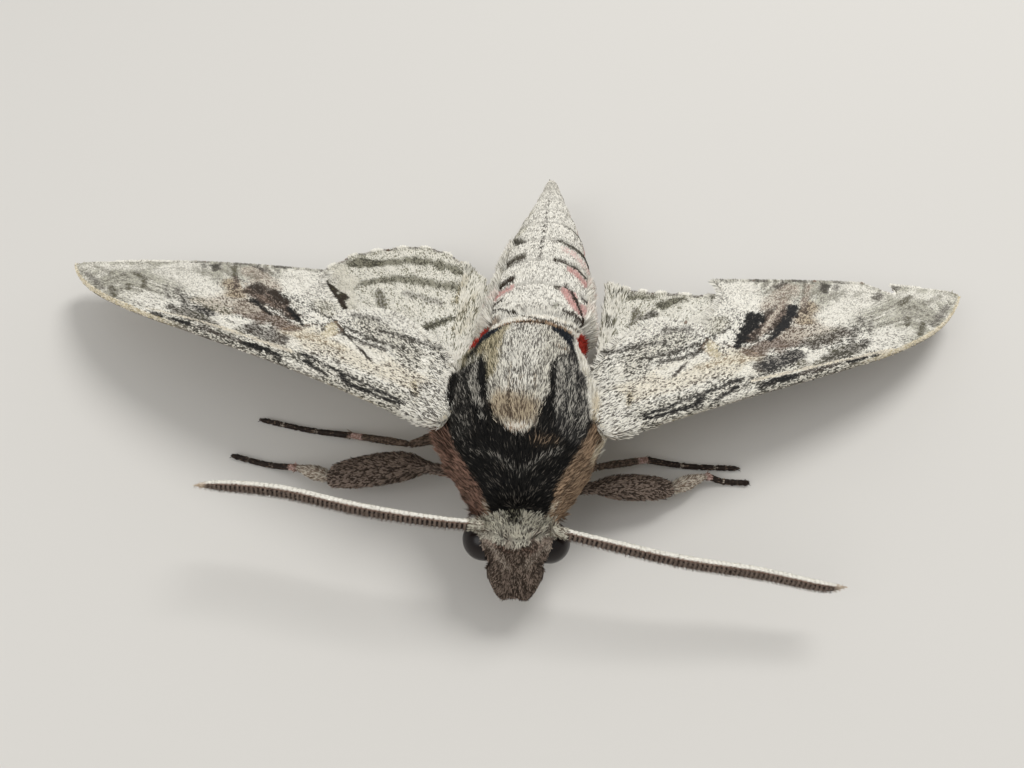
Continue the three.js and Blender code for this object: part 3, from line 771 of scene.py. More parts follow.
# Marks of the abdomen, as for the thorax: pink, then a dark bar at the rear edge of a ring.
ABDOMEN_MARKS = [
    ([(31, 12.6), (38, 11.6), (47, 11.1)], 0.75, 0.35, 0.35, "rose", "blush", 0.35, 0.9),
    ([(52, 11.6), (72, 12.0)], 0.4, 0.4, 0.4, "rose", "blush", 0.4, 0.8),
    ([(27, 13.8), (44, 11.6), (60, 10.0)], 0.16, 0.2, 0.1, "smoke", "umber", 0.96, 1.0),
    ([(28, 10.25), (57, 10.2)], 0.12, 0.16, 0.12, "smoke", "umber", 0.9, 0.9),
    ([(50, 13.1), (76, 12.9)], 0.22, 0.28, 0.15, "smoke", "umber", 0.92, 0.95),
    ([(17, 12.9), (19, 13.2)], 0.2, 0.2, 0.3, "moss", "umber", 0.8, 0.8),
    ([(17, 10.4), (19, 10.6)], 0.18, 0.18, 0.3, "moss", "umber", 0.8, 0.7),
    ([(31, 16.2), (48, 15.8), (72, 15.3)], 0.36, 0.48, 0.25, "rose", "blush", 0.4, 0.9),
    ([(14, 17.25), (40, 17.1), (76, 16.3)], 0.36, 0.4, 0.3, "olive", "umber", 0.9, 1.0),
    ([(25, 19.4), (52, 18.9), (72, 18.7)], 0.4, 0.46, 0.35, "blush", "white", 0.4, 0.85),
    ([(18, 20.9), (40, 20.6), (74, 19.9)], 0.4, 0.44, 0.4, "olive", "pepper", 0.88, 0.95),
    ([(30, 24.6), (70, 23.9)], 0.34, 0.4, 0.5, "olive", "pepper", 0.75, 0.75),
    ([(36, 28.0), (70, 27.5)], 0.2, 0.24, 0.4, "moss", "pepper", 0.65, 0.6),
    ([(-36, 13.3), (-80, 12.8)], 0.55, 0.8, 0.2, "rose", "blush", 0.4, 0.9),
    ([(-36, 14.6), (-80, 14.2)], 0.34, 0.4, 0.3, "olive", "umber", 0.9, 1.0),
    ([(-42, 11.9), (-80, 11.4)], 0.14, 0.2, 0.16, "smoke", "umber", 0.88, 0.9),
    ([(-30, 18.2), (-56, 17.9)], 0.36, 0.4, 0.4, "olive", "umber", 0.8, 0.9),
    ([(-60, 18.2), (-84, 18.4)], 0.24, 0.3, 0.3, "olive", "umber", 0.8, 0.7),
    ([(-34, 21.0), (-60, 22.4), (-90, 24.2)], 0.36, 0.5, 0.4, "olive", "pepper", 0.85, 0.9),
    ([(-62, 21.2), (-90, 22.2)], 0.2, 0.24, 0.3, "rose", "blush", 0.4, 0.5),
    ([(-60, 26.6), (-90, 28.2)], 0.3, 0.4, 0.5, "moss", "pepper", 0.6, 0.55),
    # the next three darken the right flank only: painted shade of the side turned from the light
    ([(-48, 23.9), (-84, 25.2)], 0.7, 0.9, 0.8, "lichen", "moss", 0.4, 0.75),
    ([(-56, 28.0), (-88, 29.0)], 0.8, 0.9, 0.9, "lichen", "moss", 0.3, 0.7),
    ([(-48, 9.5), (-78, 9.7)], 0.3, 0.4, 0.4, "fawn", "umber", 0.6, 0.8),
]


def abdomen_paint(points):
    y = points[:, 1]
    angle = angle_of(points)
    side = np.abs(angle + 6.0)
    wander = cloud(2, angle / 8, y / 0.9) - 0.5
    speckle = cloud(12, angle / 3.2, y / 0.5) - 0.5
    grain = cloud(16, angle / 9.0, y / 0.16) - 0.5
    paint = Paint(len(points), "white", "stone", 0.24)
    paint.lay(band(side, 0, 34, 14), "white", "stone", 0.22)
    paint.lay(band(side, 0, 1.2, 2.5) * smooth(y, 15, 18) * smooth(np.cos(y * 5.6), -0.2, 0.5), "stone",
              "pepper", 0.7)
    paint.fleck(0.3 * speckle + 0.5 * grain, 0.02, 1)
    # the lower flanks carry the same bars, one to a ring
    for ring, strength in enumerate([0.95, 1.0, 0.9, 0.75, 0.5, 0.3, 0.15, 0.0]):
        t = (y - RINGS[ring]) / (RINGS[ring + 1] - RINGS[ring]) + wander * 0.1
        flank = smooth(side, 74, 86) * fade(side, 112, 125)
        paint.lay(flank * band(t, 0.4, 0.16, 0.1) * strength, "rose", "blush", 0.4)
        paint.lay(flank * band(t, 0.7, 0.1, 0.07) * strength, "pepper", "umber", 0.85)
        paint.lay(band(side, 10, 26, 20) * band(t, 0.97, 0.05, 0.08) * 0.5, "ash", "stone", 0.6)
    lay_marks(paint, angle, y, ABDOMEN_MARKS, 0.3 * wander, ABDOMEN_AROUND)
    paint.lay(smooth(y, 31, 35) * 0.6, "chalk", "stone", 0.3)
    paint.lay(smooth(side, 125, 140), "chalk", "fawn", 0.22)
    paint.lay(band(side, 180, 6, 5) * smooth(y, 11, 13) * fade(y, 27, 30), "stone", "umber",
              0.5)
    # metathorax: a black arc of painted shadow under the overhanging rear of the thorax hair, a brown rim
    # and a cream band with a thin grey arc in it
    rear = fade(y, 9.2, 9.7)
    top = fade(side, 62, 70)
    paint.lay(rear, "white", "bone", 0.3)
    paint.lay(band(y, 7.95, 0.22, 0.12) * top, "ink", "ink", 0.9)
    paint.lay(band(y, 8.35, 0.1, 0.1) * top, "fawn", "bark", 0.6)
    arc = 8.65 + 2.6 * smooth(-angle, -10, 70) + 0.5 * smooth(angle, 20, 60)
    paint.lay(band(y, arc + wander * 0.15, 0.07, 0.08) * top, "smoke", "pepper", 0.9)
    red = band(np.abs(angle), 80, 14, 3) * band(y, 8.5, 0.75, 0.25)
    paint.lay(red, "brick", "brick", 0.3)
    return paint


def head_paint(points):
    x, y, z = points.T
    wander = cloud(3, x / 0.6, (y + z) / 0.7) - 0.5
    curl = cloud(17, x / 0.22, (y - z) / 0.3) - 0.5
    # brown-grey head, its high share of dark hairs partly painted shade of a face in half shadow
    paint = Paint(len(points), "mauve", "plum", 0.6)
    palps = fade(z - 0.6 * y, 11.2, 12.0)
    paint.lay(palps * smooth(np.abs(x), 1.2, 2.2) * 0.4, "bone", "bark", 0.5)
    paint.lay(palps * fade(z, 3.4, 4.6) * 0.5, "rosy_fawn", "umber", 0.42)
    # pale crown with a dark parting, edged in front by a short brown line
    crown = smooth(z + 0.55 * (y + 10.5), 7.2 + wander, 8.1 + wander)
    edge = band(z + 0.55 * (y + 10.5), 7.3 + wander, 0.12, 0.3)
    paint.lay(crown, "lichen", "smoke", 0.24)
    at_back = smooth(y, -10.0, -9.2)
    paint.lay(crown * band(x + 0.25, 0.0, 0.14 + 0.3 * at_back, 0.3) * smooth(y, -10.4, -9.7) * 0.85,
              "moss", "ink", 0.85)
    paint.lay(edge * 0.6, "rosy_fawn", "umber", 0.6)
    rim = band(np.hypot(np.abs(x) - EYE["x"], z - EYE["z"]), 1.9, 0.2, 0.3) * smooth(z, 5.6, 6.4)
    paint.lay(rim * 0.35, "bone", "mauve", 0.4)
    paint.lay(fade(z, 2.6, 3.4), "ash", "fur_brown", 0.4)
    paint.fleck(0.7 * curl * (1 - 0.7 * crown), 0.04, 0.94)
    return paint


def body_paint(points):
    """The markings of head, thorax and abdomen in one."""
    paint = head_paint(points)
    paint.merge(smooth(points[:, 1], HEAD_END - 0.15, HEAD_END + 0.15), thorax_paint(points))
    paint.merge(smooth(points[:, 1], THORAX_END, THORAX_END + 0.2), abdomen_paint(points))
    return paint


# ---- the body's coat -----------------------------------------------------------------------------

REARWARD = np.array([0.0, 1.0, 0.0])
MAP_TURN = 366                    # degrees across the OFBake map, a little more than a full turn


def trunk_unwrap(start, end):
    def unwrap(roots):
        points = roots["point"]
        across = 0.5 + angle_of(points) / MAP_TURN
        return np.stack([across, (points[:, 1] - start) / (end - start)], axis=1)
    return unwrap


def head_unwrap(roots):
    """The head's surface spread out round the line that it points along."""
    away = unit(roots["point"] - np.array([0, -8.6, 5.6]))
    turned = np.arccos(np.clip(-away[:, 1], -1, 1)) / math.pi
    return 0.5 + 0.49 * unit(away[:, [0, 2]]) * turned[:, None]


def thorax_lie(points):
    """Hair runs rearward, fanning out from the midline at the front."""
    x, y, _ = points.T
    fan = 0.75 * fade(y, -9.0, -2.0) + 0.1
    return np.stack([np.clip(x / 2.5, -1, 1) * fan, np.ones(len(x)), np.zeros(len(x))], axis=1)


def thorax_coat(skin):
    pelt = Pelt(skin, on_points(thorax_paint), on_points(thorax_lie), trunk_unwrap(-9.8, 7.8),
                "thorax_fur")
    y = skin.points[:, 1]
    angle = angle_of(skin.points)
    side = np.abs(angle)
    here = (y > HEAD_END - 0.1) & (y < THORAX_END + 0.1)
    above = side < 100
    for name, wanted, spacing, seed in (("thorax_hair_front", here & above & (y < -1.5), 0.074, 21),
                                        ("thorax_hair_rear", here & above & (y >= -1.5), 0.074, 28),
                                        ("breast_hair", here & ~above, 0.2, 22)):
        roots, rng = skin.scatter(spacing, seed, wanted)
        root_x, root_y, _ = roots["point"].T
        root_side = np.abs(angle_of(roots["point"]))
        rear = smooth(root_y, 4.6, 6.6)
        strip = smooth(root_side, 58, 66) * smooth(root_y, -4.0, -2.0) * (1 - 0.8 * rear)
        length = 1.0 + 0.6 * strip - 0.25 * rear - 0.2 * fade(root_y, -8.5, -5.5)
        # tufts below the wing roots stand well out from the body
        tuft = (np.where(root_x < 0, 0.5, 0.12) * band(root_side, 86, 12, 12)
                * band(root_y, -3.2, 1.3, 1.4))
        pelt.grow(name, roots, rng, HAIR, length + 0.9 * tuft, 0.078 + 0.03 * strip,
                  17 + 5 * strip + 26 * tuft, stray=10.0, root_shade=0.5)
    # hair that overhangs the rear of the thorax, and the red tufts behind the wing roots
    roots, rng = skin.scatter(0.09, 23, (y > 6.4) & (y < THORAX_END) & (side < 66))
    outer = smooth(np.abs(angle_of(roots["point"])), 34, 44)
    pelt.grow("rear_fringe", roots, rng, HAIR, 0.85 + 0.3 * outer, 0.1, 14, droop=0.14, root_shade=0.45)
    behind_wing = np.where(angle > 0, (y > 7.4) & (side > 66), (y > 6.6) & (side > 60))
    roots, rng = skin.scatter(0.1, 31, behind_wing & (y < 9.0) & (side < 96))
    pelt.unwrap = trunk_unwrap(-9.8, 10.0)
    paint = Paint(len(roots["point"]), "brick", "umber", 0.1)
    pelt.grow("red_tufts", roots, rng, HAIR, 0.95, 0.13, 34, paint, droop=0.12, stray=14.0,
              root_shade=0.55)


def abdomen_coat(skin):
    pelt = Pelt(skin, on_points(abdomen_paint), lambda roots: REARWARD, trunk_unwrap(7.2, 38.0),
                "abdomen_fur")
    y = skin.points[:, 1]
    angle = angle_of(skin.points)
    side = np.abs(angle)
    here = y > THORAX_END - 0.1
    for name, wanted, spacing, broad in (("abdomen_scales", here & (side < 112), 0.112, 0.13),
                                         ("belly_scales", here & ~(side < 112), 0.19, 0.22)):
        roots, rng = skin.scatter(spacing, 24, wanted)
        length = 0.4 - 0.1 * smooth(roots["point"][:, 1], 26, 36)
        pelt.grow(name, roots, rng, SCALE, length, broad, 7, material="body_scales", droop=0.02,
                  stray=8.0, root_shade=0.8)
    # fine fur over the band behind the thorax
    pelt.coat("rear_band_hair", 0.09, 33, (y > 7.5) & (y < 9.9) & (side < 76), HAIR, 0.6, 0.085, 15,
              stray=9.0)
    edge = np.zeros(len(y), bool)
    for end in RINGS[1:-1]:
        edge |= (y > end - 0.4) & (y < end)
    pelt.coat("ring_fringes", 0.11, 25, edge, HAIR, 0.6, 0.1, 10, droop=0.08, stray=9.0, root_shade=0.65)
    flank = (((angle > 58) & (angle < 105) & (y > 9.8) & (y < 16.5))
             | ((angle < -54) & (angle > -105) & (y > 9.8) & (y < 22)))
    roots, rng = skin.scatter(0.12, 29, flank)
    points = roots["point"]
    count = len(points)
    out = np.stack([0.35 * np.sign(points[:, 0]), np.ones(count), np.full(count, -0.15)], axis=1)
    paint = abdomen_paint(points)
    paint.lay(np.full(count, 0.75), "white", "ash", 0.08)
    pelt.grow("flank_hair", roots, rng, HAIR, 1.5, 0.12, 18, paint, out, stray=9.0, root_shade=0.65)


def head_coat(skin):
    pelt = Pelt(skin, on_points(head_paint), None, head_unwrap, "head_fur")
    _, y, z = skin.points.T
    here = y < HEAD_END + 0.1
    for side in SIDES.values():
        eye_middle = np.array([side * EYE["x"], EYE["y"], EYE["z"]])
        here &= np.linalg.norm(skin.points - eye_middle, axis=1) > EYE["radius"] + 0.12
    crown = z + 0.55 * (y + 10.5) > 7.9
    roots, rng = skin.scatter(0.08, 26, here & ~crown)
    x, y, _ = roots["point"].T
    down = np.stack([0.15 * x, np.full(len(x), -0.7), np.full(len(x), -0.55)], axis=1)
    outer = smooth(np.abs(x), 1.3, 1.9)
    between = smooth(-y, 12.2, 12.8) * fade(np.abs(x), 0.5, 0.9)
    pelt.grow("face_hair", roots, rng, HAIR, 0.42 - 0.12 * outer + 0.22 * between, 0.075, 22 - 9 * outer,
              lie=down, droop=0.12, stray=26.0, root_shade=0.5)
    roots, rng = skin.scatter(0.08, 27, here & crown)
    x = roots["point"][:, 0]
    up = np.stack([0.35 * x, np.full(len(x), 0.25), np.ones(len(x))], axis=1) + roots["normal"] * 0.2
    pelt.grow("crown_tufts", roots, rng, HAIR, 0.95, 0.095, 46, lie=up, droop=0.16, stray=26.0,
              root_shade=0.42)


# ---- wings ---------------------------------------------------------------------------------------

# A wing is set out flat, as span s from its root and chord c rearward from the line between root
# and tip, then laid on its slope, arched and slightly twisted.
WING_LENGTH = 47.0
WING_ROOT = np.array([5.0, 0.0, 10.0])
WING_SET = {
    "left": {"sweep": 29.0, "droop": 8.3, "pitch": 8.6, "twist": -0.5, "arch": 0.9, "camber": 0.007},
    "right": {"sweep": 26.2, "droop": 7.4, "pitch": 14.9, "twist": 2.8, "arch": 1.75, "camber": 0.006},
}
TIP_S = 46.75                     # where the forewing's skin ends, just short of the tip
STATION_CROWDING = 1.25           # above 1, the skin's stations stand closer towards the tip
# The forewing's rear corner, its front and outer edges as curves with two handles each, and its
# rear edge as [s, c] rows.
CORNER = (23.7, 12.9)
FRONT_EDGE = [(0, -3.64), (24.48, -4.59), (35.87, -7.36), (WING_LENGTH, 0)]
OUTER_EDGE = [CORNER, (31.74, 8.11), (48.2, 3.2), (WING_LENGTH, 0)]
REAR_EDGE = [[0, 2.4], [3.5, 4.4], [6.7, 6.8], [10.5, 8.5], [13.8, 8.7], [15.4, 6.9], [16.6, 5.9],
             [18.2, 6.9], [20.6, 8.6], [22.8, 10.6], [*CORNER]]
NICK = {"s": 39.6, "half_width": 1.4, "depth": 2.3}      # worn out of the left forewing's outer edge
# A hindwing is a fan about this point, and its skin starts at this reach from it.
FAN_ROOT = {"s": 3.2, "c": 3.2, "reach": 1.6}
# Reach of each fan at its margin, as [angle, reach] rows from its inner edge outward.
FAN = {
    "left": [[37, 15.9], [47, 16.0], [55, 17.2], [65, 20.6], [75, 23.5], [86, 25]],
    "right": [[8, 12.5], [23, 18.1], [33, 21.6], [45, 25.3], [54, 26.6], [63, 25.7], [84, 24.6]],
}
HINDWING_DROP = 1.15              # how far the hindwing lies below the forewing
LEVEL_RISE = math.tan(math.radians(8))      # slope against the forewing of the part beyond it
LEVEL_SOFTNESS = 2                # how gently one slope passes into the other
MEMBRANE = 0.13                   # half the thickness of a wing's skin
FRINGE = 0.65                     # depth of the fringe of long scales outside the skin's edge
VEIN_HEIGHT = 0.07
LOBE_PITCH = 5.8                  # degrees between the scallops of the hindwing's margin
FIRST_LOBE = 32.7

# The forewing's veins and the path of each, root to edge, in s and c.
FOREWING_VEINS = [
    [(2, -2.9), (18, -4.0), (31, -5.5)],
    [(2, -1.8), (12, -2.3), (21, -2.9), (30, -4.4), (37, -4.5)],
    [(21, -2.9), (32, -2.9), (43, -1.8)],
    [(21, -2.6), (33, -1.9), (46, -0.2)],
    [(21, -1.9), (33, -0.3), (45, 1.1)],
    [(20.5, 0.3), (31, 2.4), (40.6, 4.2)],
    [(20, 1.9), (29, 4.6), (36.6, 6.7)],
    [(18.5, 2.6), (26, 6.0), (32, 8.5)],
    [(14.5, 2.7), (21, 6.3), (27.6, 10.6)],
    [(2, -0.6), (10, 1.1), (20, 2.2)],
    [(2, 0.8), (10, 4.6), (16.5, 6.2), (23, 11.6)],
]
HINDWING_VEINS = [15.3, 21.1, 26.9, 32.7, 38.5, 44.3, 50.1, 55.9, 63, 72]      # degrees round the fan


def wing_axes(side):
    sign = SIDES[side]
    turned = WING_SET[side]
    sweep, droop, pitch = (math.radians(turned[key]) for key in ("sweep", "droop", "pitch"))
    span = np.array([sign * math.cos(sweep) * math.cos(droop), math.sin(sweep) * math.cos(droop),
                     -math.sin(droop)])
    level = np.array([-sign * math.sin(sweep), math.cos(sweep), 0.0])
    up = np.cross(span, level) * sign
    chord = math.cos(pitch) * level - math.sin(pitch) * up
    return WING_ROOT * [sign, 1, 1], span, chord, np.cross(span, chord) * sign


def on_wing(side, s, c, lift, hind):
    """Points of a wing's middle surface, or lift above it."""
    root, span, chord, normal = wing_axes(side)
    turned = WING_SET[side]
    near = c
    rise = lift
    if hind:
        # from about the forewing's rear edge on, it bends towards level
        past = c - (8.6 + 4.6 * smooth(s, 15, CORNER[0]))
        beyond = 0.5 * (past + np.sqrt(past * past + LEVEL_SOFTNESS))
        near = c - beyond
        rise = lift + LEVEL_RISE * beyond - HINDWING_DROP
    share = s / WING_LENGTH
    twist = math.tan(math.radians(turned["twist"]))
    rise = (rise + turned["arch"] * np.sin(math.pi * np.clip(share, 0, 1))
            - turned["camber"] * near * near - twist * share * near)
    return root + s[..., None] * span + c[..., None] * chord + rise[..., None] * normal


def bezier(points, t):
    a, b, c, d = (np.array(point, float) for point in points)
    t = t[:, None]
    return a * (1 - t) ** 3 + 3 * b * t * (1 - t) ** 2 + 3 * c * t * t * (1 - t) + d * t ** 3


FRONT_LINE = bezier(FRONT_EDGE, np.linspace(0, 1, 400))
OUTER_LINE = bezier(OUTER_EDGE, np.linspace(0, 0.92, 400))


def front_edge(s):
    return np.interp(s, FRONT_LINE[:, 0], FRONT_LINE[:, 1])


def rear_edge(side, s):
    edge = np.where(s < CORNER[0], along(REAR_EDGE, s)[..., 0],
                    np.interp(s, OUTER_LINE[:, 0], OUTER_LINE[:, 1]))
    if side == "left":
        off = np.minimum(1, np.abs(s - NICK["s"]) / NICK["half_width"])
        edge = edge - NICK["depth"] * (1 - off * off)
    return edge


def forewing_relief(s, c):
    relief = np.zeros(s.shape)
    for path in FOREWING_VEINS:
        away, _ = from_line(s, c, path)
        relief = np.maximum(relief, np.exp(-(away / 0.22) ** 2))
    return VEIN_HEIGHT * relief * smooth(s, 0, 4)


def fan_place(side, s, c):
    """Angle round the hindwing's fan, distance from its root, and distance in from its margin."""
    angle = np.degrees(np.arctan2(s - FAN_ROOT["s"], c - FAN_ROOT["c"]))
    r = np.hypot(s - FAN_ROOT["s"], c - FAN_ROOT["c"])
    return angle, r, along(FAN[side], angle)[..., 0] - r


def from_fan(angle, r):
    """Span and chord of the place at an angle in degrees round the fan and r from its root."""
    angle = np.radians(angle)
    return FAN_ROOT["s"] + r * np.sin(angle), FAN_ROOT["c"] + r * np.cos(angle)


def lobe(angle):
    """1 in the middle of each scallop of the hindwing's margin, -1 between them."""
    return np.cos((angle - FIRST_LOBE) / LOBE_PITCH * 2 * math.pi)


def fan_edge(side, share):
    """Angle round the hindwing's fan and reach of its scalloped margin, at shares of the way round."""
    inner, outer = FAN[side][0][0], FAN[side][-1][0]
    angle = inner + (outer - inner) * share
    return angle, along(FAN[side], angle)[..., 0] + 0.22 * lobe(angle)


def hindwing_relief(side, s, c):
    angle, r, inward = fan_place(side, s, c)
    relief = np.zeros(s.shape)
    for vein in HINDWING_VEINS:
        away = np.abs(angle - vein) * math.pi / 180 * r
        relief = np.maximum(relief, np.exp(-(away / 0.3) ** 2))
    return (0.12 * relief - 0.05) * smooth(r, 3, 8) * smooth(inward, 0, 1.5)


def fringe_inset(s):
    """How far the forewing's skin stays inside the edge that its fringe reaches."""
    return FRINGE * smooth(s, 2, 6) * (1 - 0.6 * smooth(s, 44, 46.7))


def wing_skin(side, hind):
    """A thin closed skin: each station is a ring over the top of the wing and back under it."""
    stations = 110 if hind else 190
    across = 56 if hind else 64
    u = np.linspace(0, 1, stations)[:, None]
    v = np.linspace(0, 1, across)[None, :]
    if hind:
        angle, reach = fan_edge(side, u)
        s, c = from_fan(angle, FAN_ROOT["reach"] + (reach - FRINGE - FAN_ROOT["reach"]) * v)
        relief = hindwing_relief(side, s, c)
        thick = MEMBRANE * (1 - 0.6 * smooth(v, 0.9, 1.0)) * np.ones_like(s)
    else:
        s = TIP_S * (1 - (1 - u) ** STATION_CROWDING)
        front = front_edge(s) + 0.06 + 0.7 * fade(s, -0.5, 1.6)
        back = rear_edge(side, s) - fringe_inset(s)
        c = front + (np.maximum(back, front + 0.3) - front) * v
        s = s + 0 * v
        relief = forewing_relief(s, c)
        rim = fade(c - front, 0.25, 0.9)
        thick = MEMBRANE * (1 + 0.8 * rim) * (1 - 0.6 * smooth(v, 0.93, 1.0))
    top = on_wing(side, s, c, thick + relief, hind)
    under = on_wing(side, s, c, -thick + 0.4 * relief, hind)

    def ringed(above, below):
        return np.concatenate([above, below[:, ::-1]], axis=1)

    points = ringed(top, under).reshape(-1, 3)
    quads = facing_out(points, closed_faces(stations, 2 * across, turned_first=False))
    return Skin(points, quads, s=ringed(s, s).ravel(), c=ringed(c, c).ravel(),
                top=ringed(np.ones_like(s), np.zeros_like(s)).ravel())


def wing_flow(s, c, hind):
    """Direction in s and c in which the scales lie: along the veins, towards the outer edge."""
    if hind:
        angle = np.arctan2(s - FAN_ROOT["s"] + 0.5, c - FAN_ROOT["c"] + 0.5)
        return np.sin(angle), np.cos(angle)
    behind_front = c - front_edge(s)
    slope = np.radians(30 * smooth(behind_front, 1.0, 9.0) * smooth(s, 2, 18)
                       + 22 * smooth(s, 33, 46) * fade(behind_front, 0.5, 5) * smooth(c, -6, 1))
    return np.cos(slope), np.sin(slope)


def wing_lie(side, s, c, hind):
    ahead_s, ahead_c = wing_flow(s, c, hind)
    step = 0.2
    here = on_wing(side, s, c, np.zeros_like(s), hind)
    return on_wing(side, s + step * ahead_s, c + step * ahead_c, np.zeros_like(s), hind) - here


